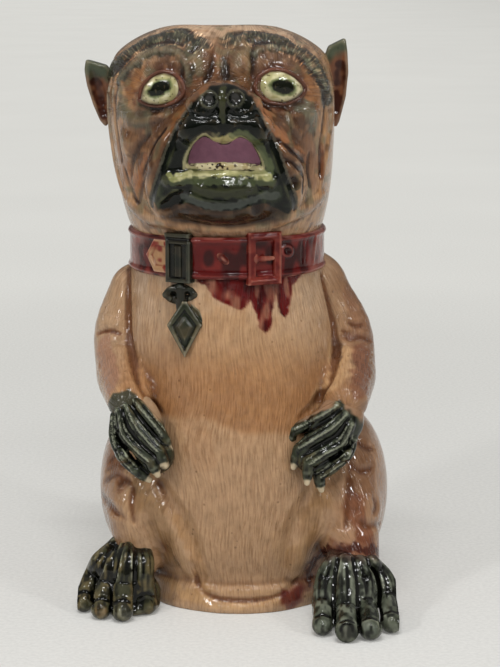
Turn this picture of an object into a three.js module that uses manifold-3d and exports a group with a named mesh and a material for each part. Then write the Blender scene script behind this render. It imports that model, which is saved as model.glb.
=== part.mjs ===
// Dog pitcher: a begging pug in glazed earthenware, hollow from the belly to the head. It is filled
// through the crown and pours through the open mouth. Millimetres, +Z up, the dog looks along -Y, its
// own left side is at +X. Torso and head are lofted shells. Every other piece is pressed clay, cut to
// the surface that carries it.

import * as THREE from 'three';
import { mergeVertices } from 'three/addons/utils/BufferGeometryUtils.js';
import Module from 'manifold-3d';

const wasm = await Module();
wasm.setup();

// Seats and cuts
const seatGap = 0.3; // slip joint between a pressed piece and its carrier
const overrun = 6; // how far a cutting body runs past the face it cuts
const meshTolerance = 0.04; // finest detail kept after a cut

// Sides and steps of the faceted surfaces
const shellSides = 32;
const torsoSteps = 11;
const headSteps = 12;
const limbSides = 12;
const limbSteps = 7;
const fingerSides = 6;
const fingerSteps = 4;
const capSteps = 2;
const digitCapSteps = 1;
const ballSides = 14;
const toothSides = 6;
const sideSigns = { right: -1, left: 1 };

// Foot and hollow body
const plinth = { height: 5.5, lip: 1.7, chamfer: 1 };
const wall = 5;
const floorThickness = 6;
const torso = { height: 157, half: 51, front: 51, back: 55, lean: -6, squareness: 2.1 };
const torsoShares = [
  // up, half width, front depth, back depth, lean
  [0, 0.89, 0.85, 0.9, 0],
  [0.04, 0.86, 0.82, 0.87, 0],
  [0.12, 0.93, 0.9, 0.94, 0.02],
  [0.28, 0.99, 0.99, 1, 0.08],
  [0.45, 1, 1.01, 1, 0.2],
  [0.62, 0.98, 0.97, 0.96, 0.4],
  [0.8, 0.94, 0.91, 0.88, 0.7],
  [0.92, 0.87, 0.86, 0.8, 0.92],
  [1, 0.83, 0.83, 0.76, 1],
];

// Hollow head with its two openings
const head = { height: 103.5, half: 51.5, front: 50, back: 47, lean: -3, squareness: 2.35 };
const headShares = [
  [0, 0.82, 0.84, 0.88, 0],
  [0.08, 0.83, 0.87, 0.89, 0.05],
  [0.16, 0.9, 0.94, 0.94, 0.15],
  [0.29, 0.98, 1, 0.98, 0.3],
  [0.45, 1, 1, 1, 0.5],
  [0.62, 1, 0.97, 1, 0.7],
  [0.78, 0.98, 0.93, 0.98, 0.85],
  [0.88, 0.93, 0.85, 0.91, 0.93],
  [0.95, 0.79, 0.7, 0.77, 0.97],
  [1, 0.56, 0.52, 0.56, 1],
];
const crown = { half: 24, front: 21, back: 22 };
const mouthUpShare = 98 / 207; // of the head's height
const mouth = { width: 33, height: 14, corner: 6, toothWidth: 10, toothDrop: 4.5 };
const mouthUp = mouthUpShare * head.height;

// Face pieces. Across is measured from the middle of the head. The muzzle keeps to the mouth, so its
// pieces end or are placed above or below the mouth's middle. Jowls and chin stand above the neck joint.
const jowl = { across: 20, topAboveMouth: 13, footUp: 14, wide: 13, deep: 15, sink: 4, splayAngle: 0.24 };
const chin = { topAboveMouth: -3, footUp: 16, wide: 25, deep: 15.5, sink: 3 };
for (const piece of [jowl, chin]) {
  piece.tall = (mouthUp + piece.topAboveMouth - piece.footUp) / 2;
  piece.aboveMouth = piece.topAboveMouth - piece.tall;
}
const lip = { aboveMouth: 11.5, wide: 19.5, deep: 12.5, tall: 9, sink: 1 };
const nose = { aboveMouth: 21, wide: 14.5, deep: 9.5, tall: 8.8, sink: 6 };
const nostril = { across: 6, radius: 3.2 };
const tooth = { count: 6, radius: 2.4, spread: 11.5, out: 4.5, rise: 0.9 };
const eyeUpShare = 152 / 207; // of the head's height
const eye = { across: 26, wide: 9.2, deep: 6, tall: 6.6, tiltAngle: 0.16 };
const eyeRim = { width: 2.1, reach: 1.2 };
const brow = { radius: 3.3, steps: 10 };
const browShares = [
  // across as a share of the head's half width, up as a share of its height
  [0.14, 0.87],
  [0.42, 0.93],
  [0.72, 0.9],
  [0.93, 0.77],
];
const ear = { thickness: 9, back: 3, sink: 6, tipRaise: 2 };
const earUp = { right: 68, left: 73.5 }; // the left ear is taller and lies closer
const earHeight = { right: 30, left: 41 };
const earReach = { right: 11, left: 6.5 };

// Collar and what is on it
const collar = { height: 19, thickness: 2.6, below: 8, edge: 0.8 };
const collarTip = { across: -30, width: 14, height: 15, point: 5, depth: 2 };
const keeper = { across: -18, width: 12.5, height: 22.5, depth: 3.4, frameWidth: 2.2, pocket: 1.2 };
const keeperRing = { radius: 5.6, wire: 2.2, tuck: 2.4 };
const pendant = { width: 16, height: 25, depth: 4, bevel: 1.4, corner: 1.6 };
const buckle = { across: 19, width: 14.5, height: 23.5, bar: 3, depth: 3.2 };
const prong = { width: 2.4, depth: 2.6 };
const rivet = { across: 0, radius: 2.5, rise: 1.7 };

// Limbs. Places are measured from the middle of the foot.
const foreleg = { shoulder: 13, upper: 15, elbow: 15, wrist: 10 };
const shoulderPlace = { beyondSide: -8, forward: -4, up: 142 };
const upperArmPlace = { beyondSide: -1, forward: -2, up: 124 };
const elbowPlace = { beyondSide: 0, forward: 8, up: 104 };
const wristPlace = { beyondSide: -2, forward: 40, up: 99 };
const palm = { wide: 11, deep: 8.5, tall: 14, tiltAngle: 0.5 };
const finger = { root: 4.6, tip: 4, claw: 2.1, clawLength: 3.5 };
// Finger tips as seen from the wrist, spread and lift from the first to the last finger.
const fingerReach = { forward: 13, up: -21, spread: 11, lift: 19 };
const fingerInward = { right: 11, left: 16 };
const knuckleShare = 0.5;
const knuckleSpreadShare = 0.85;
const haunch = { wide: 21, deep: 36, tall: 39, beyondSide: -5, forward: 3, up: 50, tiltAngle: 0.3 };
const shin = { knee: 14, ankle: 10, beyondSide: -1, kneeForward: 30, kneeUp: 44, ankleForward: 33, ankleUp: 22 };
const hindFoot = { toe: 6.8, toeTip: 7, claw: 3.2, clawLength: 2.2, rise: 37, spread: 26, length: 33 };
const toeKnuckleShare = 0.55;
const hindFootPlace = { forward: 34, heelSpread: 13 };
const hindFootBeyondSide = { right: 0.5, left: -3.5 };
const hindStride = { right: -6, left: 14 }; // the left foot stands further forward
const digitCount = 4;

// Handle and tail at the back
const handle = { wide: 9, thick: 6.5, reach: 38, topUp: 44, bottomUp: 74, sink: 4, bow: 6 };
const handleLevelShares = [0.33, 0.68];
const tail = { root: 6.5, tip: 3.4, curl: 10, up: 19, sink: 1, turns: 1.15, steps: 9 };

// Glaze colours
const tanGlaze = 0xb98f63;
const brownGlaze = 0x7f4c34;
const darkGlaze = 0x232b23;
const crimsonGlaze = 0x71162a;
const creamGlaze = 0xd8d1a0;
const lipGlaze = 0xaeb078;
const glazeRoughness = 0.12;

const torsoBase = plinth.height + seatGap;
const neckLevel = torsoBase + torso.height;
const headBase = neckLevel + seatGap;
const torsoBody = { ...torso, base: torsoBase, middle: 0, table: interpolant(torsoShares) };
const headBody = { ...head, base: headBase, middle: torso.lean, table: interpolant(headShares) };

function sideValue(values, sign) {
  return sign < 0 ? values.right : values.left;
}

// Mesh helpers

function interpolant(rows) {
  const ups = rows.map((row) => row[0]);
  const values = rows.flatMap((row) => row.slice(1));
  return new THREE.CubicInterpolant(ups, values, rows[0].length - 1);
}

function solidOf(geometry) {
  const bare = geometry.clone();
  bare.deleteAttribute('normal');
  bare.deleteAttribute('uv');
  const merged = mergeVertices(bare);
  const vertProperties = new Float32Array(merged.attributes.position.array);
  const triVerts = new Uint32Array(merged.index.array);
  return new wasm.Manifold(new wasm.Mesh({ numProp: 3, vertProperties, triVerts }));
}

function joined(solids) {
  return solids.reduce((whole, solid) => whole.add(solid));
}

function cutBy(solid, cutters) {
  return cutters.reduce((rest, cutter) => rest.subtract(cutter), solid);
}

// A cut can leave a crumb beside the piece, so the largest body is kept.
function mainBody(solid) {
  const bodies = solid.simplify(meshTolerance).decompose();
  return bodies.reduce((best, body) => (body.volume() > best.volume() ? body : best));
}

// Closed body through rings of equal point counts, with a flat or pointed fan at each end.
function loft(rings) {
  const count = rings[0].length;
  const points = rings.flat();
  const faces = [];
  rings.slice(1).forEach((unused, i) => {
    for (let j = 0; j < count; j += 1) {
      const next = (j + 1) % count;
      const low = i * count;
      const high = low + count;
      faces.push(low + j, low + next, high + next, low + j, high + next, high + j);
    }
  });
  const middleOf = (ring) => ring.reduce((sum, p) => sum.add(p), new THREE.Vector3()).divideScalar(count);
  const start = points.push(middleOf(rings[0])) - 1;
  const end = points.push(middleOf(rings.at(-1))) - 1;
  const last = (rings.length - 1) * count;
  for (let j = 0; j < count; j += 1) {
    const next = (j + 1) % count;
    faces.push(start, next, j, end, last + j, last + next);
  }
  const geometry = new THREE.BufferGeometry().setFromPoints(points);
  geometry.setIndex(faces);
  return solidOf(geometry);
}

function ellipsoid(place, radii, turn, grow, sides = ballSides) {
  const ball = new THREE.SphereGeometry(1, sides, sides / 2);
  ball.scale(radii.x + grow, radii.y + grow, radii.z + grow);
  const matrix = new THREE.Matrix4().makeRotationFromEuler(turn);
  ball.applyMatrix4(matrix.setPosition(place));
  return solidOf(ball);
}

// Round limb along a curve: radii are given at even steps, the ends are domes.
function limb(places, radii, grow, sides, steps, caps = capSteps, flatness = 1) {
  const curve = new THREE.CatmullRomCurve3(places);
  const frames = curve.computeFrenetFrames(steps);
  const ringAt = (i, radius, slide) => {
    const centre = curve.getPointAt(i / steps).addScaledVector(frames.tangents[i], slide);
    return Array.from({ length: sides }, (unused, j) => {
      const angle = (j / sides) * 2 * Math.PI;
      return centre
        .clone()
        .addScaledVector(frames.normals[i], radius * Math.cos(angle))
        .addScaledVector(frames.binormals[i], radius * flatness * Math.sin(angle));
    });
  };
  const radiusAt = (i) => {
    const slot = (i / steps) * (radii.length - 1);
    const low = Math.min(Math.floor(slot), radii.length - 2);
    return THREE.MathUtils.lerp(radii[low], radii[low + 1], slot - low) + grow;
  };
  const dome = (i, sign) =>
    Array.from({ length: caps }, (unused, k) => {
      const angle = ((k + 1) / (caps + 1)) * (Math.PI / 2);
      return ringAt(i, radiusAt(i) * Math.cos(angle), sign * radiusAt(i) * Math.sin(angle));
    });
  const shaft = Array.from({ length: steps + 1 }, (unused, i) => ringAt(i, radiusAt(i), 0));
  return loft([...dome(0, -1).reverse(), ...shaft, ...dome(steps, 1)]);
}

// Sections of the two shells

function sectionAt(body, up) {
  const [half, front, back, lean] = body.table.evaluate(up);
  return {
    level: body.base + up * body.height,
    half: half * body.half,
    front: front * body.front,
    back: back * body.back,
    middle: body.middle + lean * body.lean,
    squareness: body.squareness,
  };
}

function sectionRing(section, grow, level = section.level) {
  const bulge = (value) => Math.sign(value) * Math.abs(value) ** (2 / section.squareness);
  return Array.from({ length: shellSides }, (unused, j) => {
    const angle = (j / shellSides) * 2 * Math.PI;
    const depth = Math.sin(angle) < 0 ? section.front : section.back;
    const x = section.middle + (section.half + grow) * bulge(Math.cos(angle));
    const y = (depth + grow) * bulge(Math.sin(angle));
    return new THREE.Vector3(x, y, level);
  });
}

function outerShell(body, steps, grow) {
  const rings = Array.from({ length: steps + 1 }, (unused, i) => {
    const section = sectionAt(body, i / steps);
    return sectionRing(section, grow, section.level + (i / steps) * grow);
  });
  return loft(rings);
}

// Point on the front or back of a shell, from a height above its base and a distance from its middle.
function skin(body, across, up, facing) {
  const section = sectionAt(body, up / body.height);
  const depth = facing < 0 ? section.front : section.back;
  const rest = 1 - Math.min(1, Math.abs(across / section.half)) ** section.squareness;
  return new THREE.Vector3(
    section.middle + across,
    facing * depth * rest ** (1 / section.squareness),
    section.level,
  );
}

// Solids that later pieces are cut to

function torsoSolid(grow) {
  return outerShell(torsoBody, torsoSteps, grow);
}

function headSolid(grow) {
  return outerShell(headBody, headSteps, grow);
}

function plinthSolid(grow) {
  const section = sectionAt(torsoBody, 0);
  const levels = [
    [-grow, plinth.lip],
    [plinth.height - plinth.chamfer, plinth.lip],
    [plinth.height + grow, plinth.lip - plinth.chamfer],
  ];
  return loft(levels.map(([level, out]) => sectionRing(section, out + grow, level)));
}

function torsoHollow() {
  const first = floorThickness / torso.height;
  const rings = Array.from({ length: torsoSteps + 1 }, (unused, i) => {
    const section = sectionAt(torsoBody, THREE.MathUtils.lerp(first, 1, i / torsoSteps));
    return sectionRing(section, -wall);
  });
  rings.push(sectionRing(sectionAt(torsoBody, 1), -wall, neckLevel + overrun));
  return loft(rings);
}

function headHollow() {
  const rings = [sectionRing(sectionAt(headBody, 0), -wall, headBase - overrun)];
  for (let i = 0; i <= headSteps; i += 1) {
    const up = i / headSteps;
    rings.push(sectionRing(sectionAt(headBody, up), -wall, headBase + up * (head.height - wall)));
  }
  return loft(rings);
}

function crownCut() {
  const top = sectionAt(headBody, 1);
  const section = { ...top, ...crown };
  return loft([-wall - overrun, overrun].map((rise) => sectionRing(section, 0, top.level + rise)));
}

// The mouth is an arched slot with a blunt middle tooth left standing at its upper edge.
function mouthCut(grow) {
  const half = mouth.width / 2 + grow;
  const low = -mouth.height / 2 - grow;
  const high = mouth.height / 2 + grow;
  const toothHalf = mouth.toothWidth / 2 - grow;
  const shape = new THREE.Shape();
  shape.moveTo(-half + mouth.corner, low);
  shape.lineTo(half - mouth.corner, low);
  shape.quadraticCurveTo(half, low, half, 0);
  shape.quadraticCurveTo(half - mouth.corner / 2, high, toothHalf + mouth.corner / 2, high);
  shape.lineTo(toothHalf, high - mouth.toothDrop);
  shape.lineTo(-toothHalf, high - mouth.toothDrop);
  shape.lineTo(-toothHalf - mouth.corner / 2, high);
  shape.quadraticCurveTo(-half + mouth.corner / 2, high, -half, 0);
  shape.quadraticCurveTo(-half, low, -half + mouth.corner, low);
  const depth = 2 * (wall + chin.deep + overrun);
  const slot = new THREE.ExtrudeGeometry(shape, { depth, bevelEnabled: false, curveSegments: 4 });
  slot.rotateX(Math.PI / 2);
  const place = skin(headBody, 0, mouthUp, -1);
  slot.translate(place.x, place.y + wall + overrun, place.z);
  return solidOf(slot);
}

// Face

function jowlSolid(sign, grow) {
  const place = skin(headBody, sign * jowl.across, mouthUp + jowl.aboveMouth, -1);
  place.y += jowl.sink;
  const turn = new THREE.Euler(0, sign * -jowl.splayAngle, 0);
  const cheek = ellipsoid(place, new THREE.Vector3(jowl.wide, jowl.deep, jowl.tall), turn, grow);
  return cheek.subtract(mouthCut(-grow));
}

function midFace(piece, grow) {
  const place = skin(headBody, 0, mouthUp + piece.aboveMouth, -1);
  place.y += piece.sink;
  return ellipsoid(place, new THREE.Vector3(piece.wide, piece.deep, piece.tall), new THREE.Euler(), grow);
}

function noseSolid(grow) {
  const place = skin(headBody, 0, mouthUp + nose.aboveMouth, -1);
  place.y -= nose.sink;
  const bulb = ellipsoid(place, new THREE.Vector3(nose.wide, nose.deep, nose.tall), new THREE.Euler(), grow);
  const pits = Object.values(sideSigns).map((sign) => {
    const pit = new THREE.Vector3(sign * nostril.across, -nose.deep, 0).add(place);
    const radii = new THREE.Vector3().setScalar(nostril.radius);
    return ellipsoid(pit, radii, new THREE.Euler(), -grow);
  });
  return cutBy(bulb, pits);
}

// A row of blunt teeth on the ledge of the lower lip
function lowerTeeth() {
  const up = mouthUp - mouth.height / 2 + tooth.rise;
  const placeAt = (share) => {
    const at = skin(headBody, share * tooth.spread, up, -1);
    at.y -= tooth.out * (1 - share ** 2 / 2);
    return at;
  };
  const radii = new THREE.Vector3().setScalar(tooth.radius);
  const teeth = Array.from({ length: tooth.count }, (unused, i) => {
    const share = (2 * i) / (tooth.count - 1) - 1;
    return ellipsoid(placeAt(share), radii, new THREE.Euler(), 0, toothSides);
  });
  const gum = limb([-1, 0, 1].map(placeAt), [tooth.radius, tooth.radius], -seatGap, fingerSides, fingerSteps);
  return joined([gum, ...teeth]);
}

function eyeSolid(sign, grow) {
  const place = skin(headBody, sign * eye.across, eyeUpShare * head.height, -1);
  const turn = new THREE.Euler(0, sign * eye.tiltAngle, sign * eye.tiltAngle);
  return ellipsoid(place, new THREE.Vector3(eye.wide, eye.deep, eye.tall), turn, grow);
}

function eyeRimSolid(sign) {
  const ring = new THREE.TorusGeometry(eye.wide + eyeRim.reach, eyeRim.width, fingerSides, ballSides);
  ring.scale(1, (eye.tall + eyeRim.reach) / (eye.wide + eyeRim.reach), 1);
  ring.rotateX(Math.PI / 2);
  const place = skin(headBody, sign * eye.across, eyeUpShare * head.height, -1);
  const turn = new THREE.Euler(0, sign * eye.tiltAngle, sign * 2 * eye.tiltAngle);
  ring.applyMatrix4(new THREE.Matrix4().makeRotationFromEuler(turn).setPosition(place));
  return solidOf(ring);
}

function browSolid(sign) {
  const places = browShares.map(([across, up]) =>
    skin(headBody, sign * across * head.half, up * head.height, -1),
  );
  const radii = [brow.radius / 2, brow.radius, brow.radius, brow.radius / 2];
  return limb(places, radii, 0, fingerSides, brow.steps);
}

// A small folded leaf: its root runs along the side of the head, its tip points up and out.
function earSolid(sign) {
  const height = sideValue(earHeight, sign);
  const reach = sideValue(earReach, sign);
  const shape = new THREE.Shape();
  shape.moveTo(-ear.sink, -height / 2);
  shape.quadraticCurveTo(reach, -height / 4, reach, height / 2);
  shape.quadraticCurveTo(reach / 2, height / 2 - ear.tipRaise, -ear.sink, height / 3);
  shape.lineTo(-ear.sink, -height / 2);
  const bevel = ear.thickness / 4;
  const leaf = new THREE.ExtrudeGeometry(shape, {
    depth: ear.thickness - 2 * bevel,
    bevelThickness: bevel,
    bevelSize: bevel / 2,
    bevelSegments: 2,
    curveSegments: 5,
  });
  leaf.translate(0, 0, -ear.thickness / 2 + bevel);
  leaf.rotateX(Math.PI / 2);
  if (sign < 0) leaf.rotateZ(Math.PI);
  const section = sectionAt(headBody, sideValue(earUp, sign) / head.height);
  leaf.translate(section.middle + sign * section.half, ear.back, section.level);
  return solidOf(leaf);
}

// Collar

const collarMiddle = neckLevel - collar.below + collar.height / 2;

function collarSolid(grow) {
  const section = sectionAt(torsoBody, 1);
  const low = collarMiddle - collar.height / 2;
  const high = collarMiddle + collar.height / 2;
  const out = collar.thickness + seatGap + grow;
  return loft([
    sectionRing(section, out - collar.edge, low - grow),
    sectionRing(section, out, low + collar.edge),
    sectionRing(section, out, high - collar.edge),
    sectionRing(section, out - collar.edge, high + grow),
  ]);
}

// Stands a flat outline upright on the collar.
function onCollar(shape, depth, across, level) {
  const flat = new THREE.ExtrudeGeometry(shape, {
    depth: depth + collar.thickness,
    bevelEnabled: false,
  });
  flat.translate(0, 0, -collar.thickness);
  flat.rotateX(Math.PI / 2);
  const section = sectionAt(torsoBody, 1);
  const angle = Math.asin(across / (section.half + collar.thickness));
  flat.rotateZ(angle);
  const radius = section.front + collar.thickness;
  flat.translate(section.middle + across, -radius * Math.cos(angle), level);
  return solidOf(flat);
}

function rectangle(width, height) {
  const shape = new THREE.Shape();
  shape.moveTo(-width / 2, -height / 2);
  shape.lineTo(width / 2, -height / 2);
  shape.lineTo(width / 2, height / 2);
  shape.lineTo(-width / 2, height / 2);
  shape.closePath();
  return shape;
}

function collarTipSolid() {
  const { width, height, point } = collarTip;
  const shape = new THREE.Shape();
  shape.moveTo(width / 2, -height / 2);
  shape.lineTo(width / 2, height / 2);
  shape.lineTo(-width / 2 + point, height / 2);
  shape.lineTo(-width / 2, 0);
  shape.lineTo(-width / 2 + point, -height / 2);
  shape.closePath();
  return onCollar(shape, collarTip.depth, collarTip.across, collarMiddle);
}

function keeperSolid(grow) {
  const block = rectangle(keeper.width + 2 * grow, keeper.height + 2 * grow);
  return onCollar(block, keeper.depth + grow, keeper.across, collarMiddle);
}

function keeperPocket() {
  const inner = rectangle(keeper.width - 2 * keeper.frameWidth, keeper.height - 2 * keeper.frameWidth);
  const pocket = onCollar(inner, keeper.depth + overrun, keeper.across, collarMiddle);
  return pocket.subtract(keeperFloor());
}

function keeperFloor() {
  const block = rectangle(keeper.width, keeper.height);
  return onCollar(block, keeper.depth - keeper.pocket, keeper.across, collarMiddle);
}

const keeperRingLevel = collarMiddle - keeper.height / 2 - keeperRing.radius + keeperRing.tuck;

const chestPlace = (across, level) => skin(torsoBody, across, level - torsoBase, -1);

function keeperRingSolid(grow) {
  const shape = new THREE.TorusGeometry(keeperRing.radius, keeperRing.wire + grow, fingerSides, ballSides);
  shape.rotateX(Math.PI / 2);
  const place = chestPlace(keeper.across, keeperRingLevel);
  shape.translate(place.x, place.y, place.z);
  return solidOf(shape);
}

function pendantSolid() {
  const { width, height, corner } = pendant;
  const shape = new THREE.Shape();
  shape.moveTo(0, -height / 2);
  shape.lineTo(width / 2, corner);
  shape.lineTo(corner, height / 2);
  shape.lineTo(-corner, height / 2);
  shape.lineTo(-width / 2, corner);
  shape.closePath();
  const slab = new THREE.ExtrudeGeometry(shape, {
    depth: pendant.depth,
    bevelThickness: pendant.bevel,
    bevelSize: pendant.bevel,
    bevelOffset: -pendant.bevel,
    bevelSegments: 1,
  });
  slab.translate(0, 0, -pendant.depth / 2);
  slab.rotateX(Math.PI / 2);
  const level = keeperRingLevel - keeperRing.radius - pendant.height / 2;
  const top = chestPlace(keeper.across, level + height / 2);
  const bottom = chestPlace(keeper.across, level - height / 2);
  slab.rotateX(Math.atan2(top.y - bottom.y, height));
  const place = chestPlace(keeper.across, level);
  slab.translate(place.x, place.y, place.z);
  return solidOf(slab);
}

function buckleSolid(grow) {
  const outer = rectangle(buckle.width + 2 * grow, buckle.height + 2 * grow);
  const window = rectangle(buckle.width - 2 * (buckle.bar + grow), buckle.height - 2 * (buckle.bar + grow));
  const plate = onCollar(outer, buckle.depth + grow, buckle.across, collarMiddle);
  return plate.subtract(onCollar(window, buckle.depth + overrun, buckle.across, collarMiddle));
}

function prongSolid() {
  const bar = rectangle(buckle.width - 2 * (buckle.bar + seatGap), prong.width);
  return onCollar(bar, prong.depth, buckle.across, collarMiddle);
}

function rivetSolid() {
  const section = sectionAt(torsoBody, 1);
  const front = section.front + collar.thickness;
  const place = new THREE.Vector3(section.middle + rivet.across, -front, collarMiddle);
  return ellipsoid(place, new THREE.Vector3(rivet.radius, rivet.rise, rivet.radius), new THREE.Euler(), 0);
}

// Limbs

function place(at, sign) {
  return new THREE.Vector3(sign * (torso.half + at.beyondSide), -at.forward, at.up);
}

// The shoulder leans with the body, the wrist doesn't.
function forelegSolid(sign, grow) {
  const places = [shoulderPlace, upperArmPlace, elbowPlace, wristPlace].map((at) => place(at, sign));
  places.forEach((at, i) => {
    at.x += torso.lean * (1 - i / places.length) * Math.min(1, at.z / neckLevel);
  });
  const radii = [foreleg.shoulder, foreleg.upper, foreleg.elbow, foreleg.wrist];
  return limb(places, radii, grow, limbSides, limbSteps);
}

// One finger or toe: a bent tube with a short claw at its end.
function digit(places, radii, claw, clawLength) {
  const bone = limb(places, radii, 0, fingerSides, fingerSteps, digitCapSteps);
  const end = places.at(-1);
  const heading = end.clone().sub(places.at(-2)).normalize();
  const reach = clawLength + radii.at(-1);
  const clawPlaces = [0, reach / 2, reach].map((out) => end.clone().addScaledVector(heading, out));
  const clawRadii = [claw, claw, claw / 2];
  return bone.add(limb(clawPlaces, clawRadii, 0, fingerSides, fingerSteps / 2, digitCapSteps));
}

function forepawSolid(sign) {
  const wrist = place(wristPlace, sign);
  const { forward, up, spread, lift } = fingerReach;
  const inward = -sign * sideValue(fingerInward, sign);
  const palmPlace = wrist.clone().add(new THREE.Vector3(inward / 4, -palm.deep / 2, up / 3));
  const radii = new THREE.Vector3(palm.wide, palm.deep, palm.tall);
  const hand = ellipsoid(palmPlace, radii, new THREE.Euler(0, sign * palm.tiltAngle, 0), 0);
  const digits = Array.from({ length: digitCount }, (unused, i) => {
    const share = i / (digitCount - 1) - 1 / 2;
    const offset = new THREE.Vector3(sign * share * spread, 0, -share * lift);
    const tip = wrist.clone().add(new THREE.Vector3(inward, -forward, up)).add(offset);
    const knuckle = palmPlace.clone().addScaledVector(offset, knuckleSpreadShare);
    knuckle.y -= palm.deep * (1 - share ** 2);
    const bend = knuckle.clone().lerp(tip, knuckleShare);
    bend.y -= finger.root / 2;
    const top = wrist.clone().lerp(knuckle, knuckleShare);
    const bone = [finger.root, finger.root, finger.tip];
    return digit([top, knuckle, bend, tip], bone, finger.claw, finger.clawLength);
  });
  return joined([hand, ...digits]);
}

function haunchSolid(sign, grow) {
  const thigh = ellipsoid(
    place(haunch, sign),
    new THREE.Vector3(haunch.wide, haunch.deep, haunch.tall),
    new THREE.Euler(haunch.tiltAngle, 0, 0),
    grow,
  );
  const knee = new THREE.Vector3(sign * (torso.half + shin.beyondSide), -shin.kneeForward, shin.kneeUp);
  const ankleForward = shin.ankleForward + sideValue(hindStride, sign) / 2;
  const ankle = new THREE.Vector3(sign * (torso.half + shin.beyondSide), -ankleForward, shin.ankleUp);
  const calf = knee.clone().lerp(ankle, 1 / 2);
  return thigh.add(limb([knee, calf, ankle], [shin.knee, shin.ankle], grow, limbSides, limbSteps));
}

function hindFootSolid(sign) {
  const stride = sideValue(hindStride, sign);
  const across = sign * (torso.half + sideValue(hindFootBeyondSide, sign));
  const heelForward = hindFootPlace.forward + stride / 2;
  const digits = Array.from({ length: digitCount }, (unused, i) => {
    const share = i / (digitCount - 1) - 1 / 2;
    const reach = hindFootPlace.forward + stride + hindFoot.length * (1 - share ** 2) - hindFoot.toeTip;
    const ankleAcross = across + share * hindFootPlace.heelSpread;
    const ankle = new THREE.Vector3(ankleAcross, -heelForward, hindFoot.rise - hindFoot.toe);
    const tip = new THREE.Vector3(across + share * hindFoot.spread, -reach, hindFoot.toeTip);
    const knuckle = ankle.clone().lerp(tip, toeKnuckleShare);
    knuckle.z += hindFoot.toe / 2;
    const bone = [hindFoot.toe, hindFoot.toe, hindFoot.toeTip];
    return digit([ankle, knuckle, tip], bone, hindFoot.claw, hindFoot.clawLength);
  });
  const heel = new THREE.Vector3(across, -heelForward, hindFoot.toeTip);
  const ball = new THREE.Vector3(across, -heelForward - hindFoot.length / 2 - stride / 2, hindFoot.toeTip);
  const soleRadius = hindFoot.spread / 2;
  const sole = limb([heel, ball], [soleRadius, soleRadius], 0, limbSides, fingerSteps);
  return joined([sole, ...digits]);
}

// Everything below the table top
function tableSolid() {
  const size = 2 * (torso.half + torso.back + hindFoot.length + handle.reach);
  const slab = new THREE.BoxGeometry(size, size, overrun + torso.half);
  slab.translate(0, 0, -(overrun + torso.half) / 2);
  return solidOf(slab);
}

// Handle and tail

function handleSolid() {
  const top = skin(headBody, 0, handle.topUp, 1);
  const bottom = skin(torsoBody, 0, handle.bottomUp, 1);
  const level = (share) => THREE.MathUtils.lerp(bottom.z, top.z, share);
  const out = Math.max(top.y, bottom.y) + handle.reach;
  const places = [
    bottom.clone().add(new THREE.Vector3(0, -handle.sink, 0)),
    new THREE.Vector3(bottom.x, (bottom.y + out) / 2, bottom.z + handle.bow),
    new THREE.Vector3(bottom.x, out - handle.bow, level(handleLevelShares[0])),
    new THREE.Vector3(top.x, out, level(handleLevelShares[1])),
    new THREE.Vector3(top.x, out - handle.reach / 3, level(1)),
    top.clone().add(new THREE.Vector3(0, -handle.sink, 0)),
  ];
  const radii = [handle.wide, handle.wide];
  return limb(places, radii, 0, limbSides, 2 * limbSteps, capSteps, handle.thick / handle.wide);
}

function tailSolid() {
  const root = skin(torsoBody, 0, tail.up + tail.curl, 1);
  const places = Array.from({ length: tail.steps }, (unused, i) => {
    const share = i / (tail.steps - 1);
    const angle = share * tail.turns * 2 * Math.PI - Math.PI / 2;
    const radius = tail.curl * (1 - share / 2);
    const across = radius * Math.cos(angle);
    const up = tail.up + tail.curl + radius * Math.sin(angle);
    const surface = skin(torsoBody, across, up, 1);
    return new THREE.Vector3(root.x + across, surface.y + tail.sink + share * tail.root, surface.z);
  });
  return limb(places, [tail.root, tail.root, tail.tip], 0, fingerSides, 2 * limbSteps);
}

// Assembly: each piece is cut by the grown pieces that were there before it.

const group = new THREE.Group();
const seats = [];

function addPiece(name, color, raw, grown) {
  const solid = mainBody(cutBy(raw, seats));
  const mesh = solid.getMesh();
  const geometry = new THREE.BufferGeometry();
  geometry.setAttribute('position', new THREE.BufferAttribute(mesh.vertProperties, 3));
  geometry.setIndex(new THREE.BufferAttribute(mesh.triVerts, 1));
  geometry.computeVertexNormals();
  const material = new THREE.MeshStandardMaterial({ color, roughness: glazeRoughness, metalness: 0 });
  const piece = new THREE.Mesh(geometry, material);
  piece.name = name;
  group.add(piece);
  if (grown) seats.push(grown);
}

function addPair(name, color, build, isSeat) {
  Object.entries(sideSigns).forEach(([side, sign]) => {
    addPiece(`${name}_${side}`, color, build(sign, 0), isSeat ? build(sign, seatGap) : null);
  });
}

function addShells() {
  seats.push(tableSolid());
  addPiece('base_plinth', tanGlaze, plinthSolid(0), null);
  addPiece('torso_shell', tanGlaze, torsoSolid(0).subtract(torsoHollow()), null);
  const openHead = cutBy(headSolid(0), [headHollow(), crownCut(), mouthCut(0)]);
  addPiece('head_shell', brownGlaze, openHead, null);
  seats.push(torsoSolid(seatGap), headSolid(seatGap), plinthSolid(seatGap));
}

function addFace() {
  const mouthOpening = mouthCut(0);
  const grownChin = midFace(chin, seatGap).subtract(mouthCut(-seatGap));
  addPiece('lower_lip', darkGlaze, midFace(chin, 0).subtract(mouthOpening), grownChin);
  addPair('muzzle', darkGlaze, jowlSolid, true);
  addPiece('upper_lip', lipGlaze, midFace(lip, 0).subtract(mouthOpening), midFace(lip, seatGap));
  addPiece('nose', darkGlaze, noseSolid(0), noseSolid(seatGap));
  addPiece('lower_teeth', creamGlaze, lowerTeeth(), null);
  addPair('eye', creamGlaze, eyeSolid, true);
  addPair('eye_rim', darkGlaze, eyeRimSolid, false);
  addPair('brow', darkGlaze, browSolid, false);
  addPair('ear', brownGlaze, earSolid, false);
}

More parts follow.
